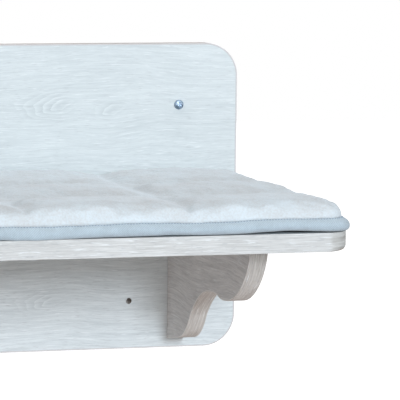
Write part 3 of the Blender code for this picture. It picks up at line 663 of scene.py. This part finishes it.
def on_plan(x, y, inset):
    """A point of a square grid, moved onto the cushion's rounded and drawn-in plan."""
    radius = max(CORNER_RADIUS - inset, 0)
    into_x = abs(x) - (HALF_WIDTH - inset - radius)
    into_y = abs(y) - (HALF_DEPTH - inset - radius)
    if into_x > 0 and into_y > 0:
        shrink = max(into_x, into_y) / math.hypot(into_x, into_y) - 1
        x += math.copysign(into_x, x) * shrink
        y += math.copysign(into_y, y) * shrink
    draw_x = DRAW_IN * math.cos(math.pi / 2 * y / HALF_DEPTH) * x / HALF_WIDTH
    draw_y = DRAW_IN * math.cos(math.pi / 2 * x / HALF_WIDTH) * y / HALF_DEPTH
    return x - draw_x, y - draw_y


def border_place(x, y, ring):
    inset, share = BORDER[ring][0] * MM, BORDER[ring][1]
    grow_x = (HALF_WIDTH - inset) / (HALF_WIDTH - RIM_INSET)
    grow_y = (HALF_DEPTH - inset) / (HALF_DEPTH - RIM_INSET)
    x, y = on_plan(x * grow_x, y * grow_y, inset)
    low = (1 - share) ** 2 * front_share(y)
    shift = table_value(FOOT, x / MM) * MM * low
    if shift < 0 and inset < RIM_INSET / 2:
        y += shift * HANG_OUT
    elif shift < 0:
        shift = 0
    return x, y, share * rim_height(x, y) + shift


print("plan:", round(2 * HALF_WIDTH / MM), "by", round(2 * HALF_DEPTH / MM), "mm")

# %% Cushion: the quilted top
SEAM_HEIGHT = 21.2 * MM
BLANK_RISE = 4.0 * MM
ROLL = 8.5 * MM
# Below 1, a cell is flatter in its middle and steeper at its seams
CELL_POWER = 0.9
# Near the rim the quilting is looser: its seams lie higher there, and cells at the
# sides lower
LOOSE_REACH, LOOSE_RISE, LOOSE_FALL_SHARE = 60 * MM, 1.6 * MM, 0.8
# (x, depth) in mm of the slope behind the front rim, how steeply it rises, and the
# power that makes it steeper close to the rim
SHOULDER = (
    (-282, 45), (-200, 30), (-139, 9), (-100, 30), (-60, 14), (-21, 30), (-1, 9), (19, 8),
    (39, 22), (66, 12), (80, 38), (102, 40), (116, 14), (139, 9), (154, 28), (183, 16),
    (200, 34), (216, 46), (240, 38), (262, 22), (282, 20),
)
SHOULDER_RISE, SHOULDER_POWER = 0.085, 1.2
# (x, depth) in mm of the tucks where a seam across the cushion ends at its front
TUCKS = ((-139.5, 1.8), (0, 1.2), (139.5, 2.6))
TUCK_WIDTH, TUCK_REACH = 4.5 * MM, 26 * MM
# Cells at the rim stay full towards it, as if the next seam were this far outside
SPARE = 60.0 * MM


def quarter_round(distance, reach):
    left = 1 - min(max(distance, 0) / reach, 1)
    return math.sqrt(max(1 - left * left, 0))


def fullness(place, seams, half):
    """Along one direction: 0 on a seam, 1 half-way between two."""
    stops = [-half, *seams, half]
    for low, high in zip(stops, stops[1:]):
        if place <= high:
            return math.sin(math.pi * min(max((place - low) / (high - low), 0), 1))
    return 0.0


def front_dip(x, y):
    """How much the front of the plush lies lower: a slope of changing depth, and tucks."""
    inset = max(y + HALF_DEPTH - RIM_INSET, 0)
    reach = table_value(SHOULDER, x / MM) * MM
    left = 1 - min(inset / reach, 1)
    dip = SHOULDER_RISE * reach * left**SHOULDER_POWER
    near = max(1 - inset / TUCK_REACH, 0)
    for place, depth in TUCKS:
        dip += depth * MM * near * math.exp(-(((x - place * MM) / TUCK_WIDTH) ** 2))
    return dip


def top_height(x, y):
    side = HALF_WIDTH - abs(x) - RIM_INSET
    inset = min(side, HALF_DEPTH - abs(y) - RIM_INSET)
    full = fullness(x, SEAMS_X, HALF_WIDTH + SPARE) * fullness(y, SEAMS_Y, HALF_DEPTH + SPARE)
    rim = rim_height(x, y)
    loose, loose_side = (min(max(1 - near / LOOSE_REACH, 0), 1) for near in (inset, side))
    rise = BLANK_RISE * full**CELL_POWER * (1 - LOOSE_FALL_SHARE * loose_side)
    rise += LOOSE_RISE * loose * loose
    top = SEAM_HEIGHT + rise - front_dip(x, y)
    return rim + (top - rim) * quarter_round(inset, ROLL)


print("top at the middle of a cell:", round(top_height(SEAMS_X[2] / 2, 0) / MM, 1), "mm")

# %% Cushion: the blank
REST = 0.3 * MM


def make_blank():
    bpy.ops.object.select_all(action="DESELECT")
    bpy.ops.mesh.primitive_grid_add(
        x_subdivisions=len(LINES_X) - 1, y_subdivisions=len(LINES_Y) - 1, size=1
    )
    blank = bpy.context.object
    bpy.ops.object.mode_set(mode="EDIT")
    bpy.ops.mesh.select_mode(type="EDGE")
    bpy.ops.mesh.select_all(action="DESELECT")
    bpy.ops.mesh.select_non_manifold()
    for _ in BORDER[1:]:
        down = {"value": (0, 0, -1 / (len(BORDER) - 1))}
        bpy.ops.mesh.extrude_edges_move(TRANSFORM_OT_translate=down)
    bpy.ops.mesh.select_all(action="SELECT")
    bpy.ops.mesh.normals_make_consistent(inside=False)
    bpy.ops.object.mode_set(mode="OBJECT")
    return blank


def shape_blank(blank):
    """Puts every point in its place and gives its column, row, ring and if it is at the rim."""
    marks = []
    last_column, last_row, last_ring = len(LINES_X) - 1, len(LINES_Y) - 1, len(BORDER) - 1
    for point in blank.data.vertices:
        column = round((point.co.x + 0.5) * last_column)
        row = round((point.co.y + 0.5) * last_row)
        ring = round(-point.co.z * last_ring)
        at_rim = column in (0, last_column) or row in (0, last_row)
        x, y = LINES_X[column], LINES_Y[row]
        if ring == 0 and not at_rim:
            place = (*on_plan(x, y, RIM_INSET), top_height(x, y))
        else:
            place = border_place(x, y, ring)
        point.co = (place[0], place[1] + MIDDLE, place[2] + REST)
        marks.append((column, row, ring, at_rim))
    return marks


cushion = make_blank()
marks = shape_blank(cushion)
print("blank:", len(cushion.data.vertices), "points")

# %% [markdown]
# The weave has to run round the border as the cloth does, so the blank gets a
# UV map in metres before anything bends it: round the border and down it, and
# plainly across and deep on the top. Subdivision later carries the map along.

# %% Cushion: the cloth's own distances
def walk_rim():
    """The rim's points in order, as (column, row)."""
    columns, rows = range(len(LINES_X)), range(len(LINES_Y))
    front = [(column, 0) for column in columns[:-1]]
    right = [(columns[-1], row) for row in rows[:-1]]
    rear = [(column, rows[-1]) for column in columns[:0:-1]]
    return front + right + rear + [(0, row) for row in rows[:0:-1]]


def along_side(x, y):
    """How far round the cushion's side a place lies from the middle of the front."""
    flat_x, flat_y = HALF_WIDTH - CORNER_RADIUS, HALF_DEPTH - CORNER_RADIUS
    across, back = min(abs(x), flat_x), min(max(y, -flat_y), flat_y)
    turn = CORNER_RADIUS * math.atan2(max(abs(x) - flat_x, 0), max(abs(y) - flat_y, 0))
    if y <= flat_y:
        return across + turn + back + flat_y
    return 2 * (flat_x + flat_y) + math.pi * CORNER_RADIUS - turn - across


def lay_cloth(piece):
    down = [0.0]
    for (inset, share), (next_inset, next_share) in zip(BORDER, BORDER[1:]):
        step = math.hypot(next_inset - inset, (next_share - share) * SIDE_RIM) * MM
        down.append(down[-1] + step)
    layer = piece.data.uv_layers.new(name="cloth")
    for face in piece.data.polygons:
        points = [piece.data.loops[loop].vertex_index for loop in face.loop_indices]
        rings = [marks[point][2] for point in points]
        for loop, point, ring in zip(face.loop_indices, points, rings):
            place = piece.data.vertices[point].co
            if max(rings) == 0:
                layer.data[loop].uv = place.xy
            else:
                along = math.copysign(along_side(place.x, place.y - MIDDLE), face.center.x)
                layer.data[loop].uv = (along, -down[ring])


lay_cloth(cushion)
print("round the border:", round(2 * along_side(0, HALF_DEPTH), 3), "m")

# %% Cushion: simulate
# shrink_min below 0 cuts the cloth larger than its place
CLOTH = dict(
    quality=4, mass=0.3, tension_stiffness=10, compression_stiffness=10, shear_stiffness=5,
    bending_stiffness=0.3, air_damping=3, use_pressure=True, uniform_pressure_force=4.0,
    shrink_min=-0.010, vertex_group_mass="sewn",
)
LAST_STEP = 20
# The border's last rings, at its foot, are pinned as the seams are
PINNED_RINGS = 4
# No point moves further than its cap, which grows from the rim inwards
TOP_CAP, RIM_CAP = 3.2 * MM, 0.8 * MM
FRONT_CAP_SLOPE, SIDE_CAP_CURVE = 0.35, 7.0


def line_at(lines, seam):
    return min(range(len(lines)), key=lambda number: abs(lines[number] - seam))


def pin_seams(piece):
    columns = [line_at(LINES_X, seam) for seam in SEAMS_X]
    rows = [line_at(LINES_Y, seam) for seam in SEAMS_Y]
    held = []
    for number, (column, row, ring, at_rim) in enumerate(marks):
        seam = ring == 0 and (at_rim or column in columns or row in rows)
        if seam or ring >= len(BORDER) - PINNED_RINGS:
            held.append(number)
    piece.vertex_groups.new(name="sewn").add(held, 1.0, "REPLACE")


def run_cloth(piece):
    cloth = piece.modifiers.new("cloth", "CLOTH")
    for name, value in CLOTH.items():
        setattr(cloth.settings, name, value)
    cloth.settings.effector_weights.gravity = 0
    cloth.point_cache.frame_start = 1
    cloth.point_cache.frame_end = LAST_STEP
    for step in range(1, LAST_STEP + 1):
        bpy.context.scene.frame_set(step)
    bpy.context.view_layer.objects.active = piece
    bpy.ops.object.modifier_apply(modifier=cloth.name)
    bpy.context.scene.frame_set(1)


def inflate(piece):
    """Simulates the cloth, holds every point to its cap, and gives the furthest move."""
    before = [point.co.copy() for point in piece.data.vertices]
    run_cloth(piece)
    most = 0.0
    for point, start, mark in zip(piece.data.vertices, before, marks):
        move = point.co - start
        most = max(most, move.length)
        side = max(HALF_WIDTH - abs(start.x) - RIM_INSET, 0)
        front = max(HALF_DEPTH - abs(start.y - MIDDLE) - RIM_INSET, 0)
        grow = min(SIDE_CAP_CURVE * side * side, FRONT_CAP_SLOPE * front)
        cap = RIM_CAP if mark[2] else min(RIM_CAP + grow, TOP_CAP)
        if move.length > cap:
            point.co = start + move * (cap / move.length)
    return most


pin_seams(cushion)
print("cloth moved at most", round(inflate(cushion) / MM, 1), "mm")

# %% [markdown]
# The simulated form is cut into its two covers along the sewn rim. Each is
# rounded by one subdivision and gets the thickness of its cloth inwards, so
# the two meet only at the seam. Before that, the plush is roughened: its pile
# stands in clumps, some wider and some only a few millimetres across. The
# wadding is the whole form once more, shrunk by the thickness of the pile.

# %% Cushion: helpers for its pieces
def only(piece):
    bpy.ops.object.select_all(action="DESELECT")
    piece.select_set(True)
    bpy.context.view_layer.objects.active = piece


def apply_modifier(piece, name, kind, **settings):
    only(piece)
    modifier = piece.modifiers.new(name, kind)
    for key, value in settings.items():
        setattr(modifier, key, value)
    bpy.ops.object.modifier_apply(modifier=modifier.name)


def copy_with_faces(source, name, wanted):
    """A copy with only the faces whose points' rings are wanted."""
    piece = source.copy()
    piece.data = source.data.copy()
    piece.name = name
    bpy.context.collection.objects.link(piece)
    shape = bmesh.new()
    shape.from_mesh(piece.data)
    rest = [face for face in shape.faces if not wanted([marks[v.index][2] for v in face.verts])]
    bmesh.ops.delete(shape, geom=rest, context="FACES")
    shape.to_mesh(piece.data)
    shape.free()
    piece.vertex_groups.clear()
    piece.data.shade_smooth()
    return piece


def close_underside(piece):
    """One face closes the foot, and gets its place in the weave."""
    shape = bmesh.new()
    shape.from_mesh(piece.data)
    low = SIDE_RIM / 2 * MM
    foot = [edge for edge in shape.edges if edge.is_boundary and edge.verts[0].co.z < low]
    bmesh.ops.contextual_create(shape, geom=foot)
    bmesh.ops.recalc_face_normals(shape, faces=shape.faces)
    cloth = shape.loops.layers.uv["cloth"]
    for corner in max(shape.faces, key=lambda face: len(face.verts)).loops:
        corner[cloth].uv = corner.vert.co.xy
    shape.to_mesh(piece.data)
    shape.free()


def rim_line(piece):
    places = {m[:2]: p.co.copy() for m, p in zip(marks, piece.data.vertices) if m[2] == 0 and m[3]}
    return [places[spot] for spot in walk_rim()]


# %% Cushion: the pile's clumps
# (size of a clump, how far it stands out)
CLUMPS = ((16 * MM, 0.75 * MM), (6.5 * MM, 0.55 * MM), (3.6 * MM, 0.30 * MM))
# The plush is pinched a little behind its front rim, at the tucks
PINCH_WIDTH, PINCH_DEPTH = 2.0 * MM, 1.1 * MM
PINCH_INSET, PINCH_REACH = 10 * MM, 8 * MM


def pinch(place):
    """How deep the end of a seam across the cushion pinches the plush here."""
    inset = place.y - FRONT - RIM_INSET
    near = max(1 - abs(inset - PINCH_INSET) / PINCH_REACH, 0)
    depths = 0.0
    for x, depth in TUCKS:
        off = (place.x / MM - x) * MM / PINCH_WIDTH
        depths += depth * math.exp(-(off**2))
    return PINCH_DEPTH * near * depths


def roughen(piece):
    """Moves each point along its normal by noise at a few sizes; the sewn rim stays."""
    shape = bmesh.new()
    shape.from_mesh(piece.data)
    shape.normal_update()
    moves = []
    for point in shape.verts:
        lift = sum(depth * noise.noise(point.co / size) for size, depth in CLUMPS)
        lift -= pinch(point.co)
        moves.append(point.normal * (0.0 if point.is_boundary else lift))
    for point, move in zip(shape.verts, moves):
        point.co += move
    shape.to_mesh(piece.data)
    shape.free()


pinched = pinch(Vector((0, FRONT + RIM_INSET + PINCH_INSET, 0)))
print("the middle tuck is pinched by", round(pinched / MM, 2), "mm")

# %% Cushion: covers and wadding
PLUSH_THICKNESS, TWILL_THICKNESS = 2.0 * MM, 1.0 * MM
WADDING_CLEARANCE = 0.8 * MM
WADDING_FACES_SHARE = 0.4

plush = copy_with_faces(cushion, "plush_cover", lambda rings: max(rings) == 0)
base = copy_with_faces(cushion, "woven_base", lambda rings: max(rings) > 0)
for piece in (plush, base):
    apply_modifier(piece, "rounding", "SUBSURF", levels=1, render_levels=1)
roughen(plush)
close_underside(base)
apply_modifier(plush, "thickness", "SOLIDIFY", thickness=PLUSH_THICKNESS, offset=-1)
apply_modifier(base, "thickness", "SOLIDIFY", thickness=TWILL_THICKNESS, offset=-1)

rim = rim_line(cushion)
wadding = cushion
wadding.name = "wadding"
wadding.vertex_groups.clear()
close_underside(wadding)
only(wadding)
bpy.ops.object.mode_set(mode="EDIT")
bpy.ops.mesh.select_all(action="SELECT")
bpy.ops.transform.shrink_fatten(value=-(PLUSH_THICKNESS + WADDING_CLEARANCE))
bpy.ops.object.mode_set(mode="OBJECT")
apply_modifier(wadding, "fewer_faces", "DECIMATE", ratio=WADDING_FACES_SHARE)
wadding.data.shade_smooth()
for piece in (plush, base, wadding):
    print(piece.name, len(piece.data.polygons), "faces")

# %% [markdown]
# The seam is sewn with a running stitch of darker thread, which the photo
# shows as a dotted line under the pile. One stitch is a short bead of thread
# whose ends dive into the cloth. It is copied along the rim, each copy turned
# to the rim's direction there, and all copies are one mesh.

# %% Cushion: stitches along the seam
STITCH_PITCH = 2.5 * MM
STITCH_LENGTH, STITCH_WIDTH = 1.7 * MM, 0.70 * MM
STITCH_OUT, STITCH_UP = 1.4 * MM, 0.14 * MM
STITCH_SIDES, STITCH_RINGS = 8, 5
# The ends dive into the cloth by a quarter of this many widths
STITCH_DIVE = 1.2


def one_stitch():
    bpy.ops.object.select_all(action="DESELECT")
    bpy.ops.mesh.primitive_uv_sphere_add(
        segments=STITCH_SIDES, ring_count=STITCH_RINGS, radius=0.5
    )
    stitch = bpy.context.object
    bpy.ops.object.mode_set(mode="EDIT")
    bpy.ops.transform.rotate(value=math.pi / 2, orient_axis="Y", center_override=(0, 0, 0))
    bpy.ops.transform.resize(value=(STITCH_LENGTH, STITCH_WIDTH, STITCH_WIDTH))
    bpy.ops.object.mode_set(mode="OBJECT")
    for point in stitch.data.vertices:
        point.co.z -= STITCH_DIVE * STITCH_WIDTH * (point.co.x / STITCH_LENGTH) ** 2
    return stitch


def sew(line, cloth):
    """Stitches at an even pitch beside the closed line, half sunk into the cloth."""
    stitch = one_stitch()
    thread = bmesh.new()
    reach, due = 0.0, 0.0
    for start, end in zip(line, line[1:] + line[:1]):
        step = end - start
        along = step.normalized()
        outward = along.cross(Vector(UP)).normalized()
        turn = Matrix((along, -outward, along.cross(-outward))).transposed().to_4x4()
        while due < reach + step.length:
            spot = start + along * (due - reach) + outward * STITCH_OUT
            _, spot, normal, _ = cloth.closest_point_on_mesh(spot)
            bead = stitch.data.copy()
            bead.transform(Matrix.Translation(spot + normal * STITCH_UP) @ turn)
            thread.from_mesh(bead)
            bpy.data.meshes.remove(bead)
            due += STITCH_PITCH
        reach += step.length
    thread.to_mesh(stitch.data)
    thread.free()
    stitch.name = "seam_stitches"
    stitch.data.shade_smooth()
    return stitch


stitches = sew(rim, base)
print("stitches:", len(stitches.data.polygons) // (STITCH_SIDES * STITCH_RINGS))

# %% [markdown]
# Plush is a short dense pile. Seen from afar it is a soft pale grey that
# brightens at its edges, because the fibres catch light from the side: that is
# sheen. The pile never lies the same way everywhere, so patches of it are a
# shade darker or lighter, and its surface is uneven at two sizes, tufts of a
# few millimetres and single fibres under one. On the front slope the colour is
# painted paler, the more so towards the right: painted light where the slope
# faces the lamps.

# %% Finish of the plush
PLUSH_PALE, PLUSH_GREY = (0.665, 0.728, 0.757), (0.572, 0.578, 0.572)
# The patches are drawn out from front to back
PATCH_SQUEEZE, PATCH_SCALE = (1.0, 0.55, 1.0), 34.0
TUFT_SCALE, TUFT_SHARE = 560.0, 0.46
FIBRE_SCALE, FIBRE_SHARE = 1100.0, 0.35
# Where the painted light on the front slope begins and is full, and from where to where it grows to
# the right, and by how much
PAINTED_LIGHT_FRONT, PAINTED_LIGHT_RIGHT = (-300 * MM, -318 * MM), (60 * MM, 240 * MM, 0.05, 0.30)
PLUSH_SHEEN = {
    "Specular IOR Level": 0.2,
    "Sheen Weight": 0.5,
    "Sheen Roughness": 0.45,
    "Sheen Tint": (0.92, 0.97, 1.0, 1),
}


def make_plush():
    material, tree = new_material("plush")
    place = object_place(tree)
    flat = stretch(tree, place, PATCH_SQUEEZE)
    patches = map_range(tree, noise_at(tree, flat, scale=PATCH_SCALE, detail=4.0), 0.36, 0.64)
    tufts = noise_at(tree, place, scale=TUFT_SCALE, detail=2.0, distortion=0.3)
    fibres = noise_at(tree, place, scale=FIBRE_SCALE, detail=2.0)
    tone = mix_value(tree, TUFT_SHARE, patches, map_range(tree, tufts, 0.35, 0.65))
    axes = split(tree, place)
    # Painted light: the front slope, which faces the lamps, is made paler, more so towards the
    # right.
    front = map_range(tree, axes["Y"], *PAINTED_LIGHT_FRONT)
    painted_light_share = map_range(tree, axes["X"], *PAINTED_LIGHT_RIGHT)
    tone = math_node(tree, "ADD", tone, times(tree, front, painted_light_share), clamp=True)
    colour = mix_colour(tree, tone, PLUSH_GREY, PLUSH_PALE)
    height = mix_value(tree, FIBRE_SHARE, tufts, fibres)
    return surface(material, colour, 0.95, height, (1.0, 0.8 * MM), PLUSH_SHEEN)


plush_finish = make_plush()
print(plush_finish.name, len(plush_finish.node_tree.nodes), "nodes")

# %% [markdown]
# Twill is woven with every thread passing over two and under one, and each row
# starts one thread further on, which draws the slanting ribs. The group counts
# the threads both ways from the cloth's own distances, takes one count from the
# other and then the remainder by three: that says which thread lies on top.
# Each thread is rounded across its width.

# %% Group: twill weave
TWILL_PITCH = 0.70 * MM
TWILL_REPEAT = 3.0
# The remainders 0 and 1 lie below this: there the warp is on top
WARP_BELOW = 1.5
WEFT_HEIGHT = 0.6


def make_twill_group():
    inputs = {"Place": None, "Pitch": TWILL_PITCH}
    group, given, out = new_group("twill_weave", inputs, ["Height", "Warp"])
    pitch = join(group, X=given["Pitch"], Y=given["Pitch"])
    threads = vector_node(group, "DIVIDE", given["Place"], pitch)
    count = split(group, vector_node(group, "FLOOR", threads))
    inside = split(group, vector_node(group, "FRACTION", threads))
    step = math_node(group, "SUBTRACT", count["X"], count["Y"])
    turn = math_node(group, "FLOORED_MODULO", step, TWILL_REPEAT)
    warp = math_node(group, "LESS_THAN", turn, WARP_BELOW)
    round_x, round_y = (
        math_node(group, "SINE", times(group, inside[axis], math.pi))
        for axis in "XY"
    )
    weft = times(group, round_y, WEFT_HEIGHT)
    group.links.new(mix_value(group, warp, weft, round_x), out["Height"])
    group.links.new(warp, out["Warp"])
    return group


TWILL = make_twill_group()
print(TWILL.name, len(TWILL.nodes), "nodes")

# %% Finish of the woven base
WARP_BLUE, WEFT_BLUE = (0.508, 0.596, 0.645), (0.405, 0.490, 0.549)
SLUB_RATE, WEAR_SCALE = (900.0, 160.0, 1.0), 60.0
UNEVEN = (0.90, 1.10)
# Painted shade on the border: from its foot, this far down the cloth, up to its seam, and the shade
# at each end; the underside keeps the foot's shade
PAINTED_BORDER_SHADE = (-14 * MM, -1 * MM, 0.84, 1.13)
TWILL_SHEEN = {"Specular IOR Level": 0.25, "Sheen Weight": 0.2, "Sheen Roughness": 0.5}


def make_twill():
    material, tree = new_material("twill")
    cloth = add_node(tree, "ShaderNodeUVMap", uv_map="cloth").outputs[0]
    weave = place_group(tree, TWILL, place=cloth, pitch=TWILL_PITCH)
    slubs = noise_at(tree, stretch(tree, cloth, SLUB_RATE), detail=2.0)
    worn = noise_at(tree, cloth, scale=WEAR_SCALE, detail=3.0)
    uneven = map_range(tree, mix_value(tree, 0.5, slubs, worn), 0.3, 0.7, *UNEVEN)
    # Painted shade: darker down the border towards its foot and on the underside, paler at the seam;
    # the slubs and wear are the cloth's own.
    shade = map_range(tree, split(tree, cloth)["Y"], *PAINTED_BORDER_SHADE)
    shade = times(tree, uneven, shade)
    grey = add_node(tree, "ShaderNodeCombineColor", inputs={0: shade, 1: shade, 2: shade})
    colour = mix_colour(tree, weave["Warp"], WEFT_BLUE, WARP_BLUE)
    colour = mix_colour(tree, 1.0, colour, grey.outputs[0], blend="MULTIPLY")
    return surface(material, colour, 0.85, weave["Height"], (0.6, 0.25 * MM), TWILL_SHEEN)


twill_finish = make_twill()
print(twill_finish.name, len(twill_finish.node_tree.nodes), "nodes")

# %% [markdown]
# Hidden inside is wadding: matted white polyester fibre, with clumps and a web
# of fine creases. The thread, and later the plugs, the dowels and the glue, are
# small or hidden, and one finish with other colours and scales serves them all.

# %% Finish of the wadding and of small pieces
WADDING_GREY, WADDING_WHITE = (0.70, 0.71, 0.72), (0.86, 0.87, 0.87)
WEB_SHARE = 0.4
SMALL_RELIEF = (0.3, 0.08 * MM)


def make_wadding():
    material, tree = new_material("wadding")
    place = object_place(tree)
    clumps = noise_at(tree, place, scale=60.0, detail=5.0, roughness=0.65, distortion=1.2)
    webs = noise_at(tree, place, scale=420.0, detail=3.0, distortion=2.0)
    height = mix_value(tree, WEB_SHARE, clumps, webs)
    colour = mix_colour(tree, map_range(tree, height, 0.3, 0.7), WADDING_GREY, WADDING_WHITE)
    return surface(material, colour, 1.0, height, (0.8, 1.5 * MM), {"Sheen Weight": 0.4})


def make_moulded(name, low, high, roughness, grain, squeeze=(1.0, 1.0, 1.0)):
    """Thread, nylon, beech and glue: two near tones in clouds, and a little height."""
    material, tree = new_material(name)
    spread = stretch(tree, object_place(tree), squeeze)
    cloud = map_range(tree, noise_at(tree, spread, scale=grain, detail=4.0), 0.35, 0.65)
    colour = mix_colour(tree, cloud, low, high)
    roughness = map_range(tree, cloud, 0.0, 1.0, roughness, roughness + 0.1)
    return surface(material, colour, roughness, cloud, SMALL_RELIEF)


# %% Each cover in its cloth
def coat(piece, finish):
    piece.data.materials.clear()
    piece.data.materials.append(finish)


def clothe(piece, node, finish):
    coat(piece, finish)
    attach(piece, "cushion")
    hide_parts(node)


clothe(plush, "cushion_plush_top", plush_finish)
clothe(base, "cushion_woven_base", twill_finish)
clothe(wadding, "cushion_filling", make_wadding())
coat(stitches, make_moulded("thread", (0.25, 0.32, 0.40), (0.35, 0.43, 0.52), 0.6, 2500.0))
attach(stitches, "cushion")
print("cushion dressed")

# %% [markdown]
# The metal is bright zinc plate over steel. It is a metal with a faint blue
# cast, a little rougher where the plating is uneven, and with fine scratches
# from the drill bit.

# %% Finish of the screws, plugs and dowels
ZINC_DARK, ZINC_PALE = (0.24, 0.33, 0.44), (0.42, 0.52, 0.64)
ZINC_ROUGHNESS = (0.22, 0.38)
SCRATCH_RATE = (2600.0, 900.0, 2600.0)


def make_zinc():
    material, tree = new_material("zinc")
    place = object_place(tree)
    cloud = map_range(tree, noise_at(tree, place, scale=700.0, detail=3.0), 0.35, 0.65)
    fine = noise_at(tree, stretch(tree, place, SCRATCH_RATE), detail=1.0)
    colour = mix_colour(tree, cloud, ZINC_DARK, ZINC_PALE)
    roughness = map_range(tree, cloud, 0.0, 1.0, *ZINC_ROUGHNESS)
    return surface(material, colour, roughness, fine, (0.25, 0.05 * MM), {"Metallic": 1.0})


FIXINGS = {
    "screw": make_zinc(),
    "plug": make_moulded("nylon", (0.50, 0.51, 0.52), (0.60, 0.61, 0.62), 0.42, 500.0),
    "dowel": make_moulded(
        "beech", (0.50, 0.33, 0.19), (0.66, 0.48, 0.30), 0.55, 900.0, (1.0, 0.12, 1.0)
    ),
}
for word, material in FIXINGS.items():
    found = [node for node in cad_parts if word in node]
    dress(material, *found)
    print(material.name, "on", len(found), "pieces")

# %% [markdown]
# The CAD model leaves three tenths of a millimetre between a board and its
# edging, where the real bed has a line of glue, and from close by that gap
# looks like a black line. The glue goes in here. The inner wall of each edging
# is copied: those are the faces whose middles lie just that far from the board.
# The copied ribbon then gets a thickness towards the board.

# %% Glue lines between the boards and their edging
FIT_GAP = 0.3 * MM
GLUE = 0.28 * MM
# A face of the inner wall lies no further than this from the board
INNER_WALL_REACH = 1.2 * FIT_GAP
WELD_DISTANCE = 0.001 * MM


def add_glue(board, edging, across, finish):
    """across is the way through the board: faces of the edging that look there are left out."""
    core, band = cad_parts[board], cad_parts[edging]
    line = bpy.data.objects.new(f"{board}_glue", band.data.copy())
    bpy.context.collection.objects.link(line)
    shape = bmesh.new()
    shape.from_mesh(line.data)
    bmesh.ops.remove_doubles(shape, verts=shape.verts, dist=WELD_DISTANCE)
    rest = []
    for face in shape.faces:
        middle = face.calc_center_median()
        _, near, _, _ = core.closest_point_on_mesh(middle)
        flat = abs(face.normal.dot(Vector(across))) > 0.5
        if flat or (near - middle).length > INNER_WALL_REACH:
            rest.append(face)
    bmesh.ops.delete(shape, geom=rest, context="FACES")
    shape.to_mesh(line.data)
    shape.free()
    apply_modifier(line, "thickness", "SOLIDIFY", thickness=GLUE, offset=1, use_even_offset=True)
    coat(line, finish)
    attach(line, "wall_unit")
    print(line.name, len(line.data.polygons), "faces")


glue = make_moulded("glue", (0.47, 0.47, 0.465), (0.57, 0.57, 0.565), 0.5, 900.0)
add_glue("back_board", "back_board_edging", DEEP, glue)
add_glue("shelf_board", "shelf_edging", UP, glue)
for side in ("left", "right"):
    add_glue(f"bracket_{side}", f"bracket_{side}_edging", ACROSS, glue)
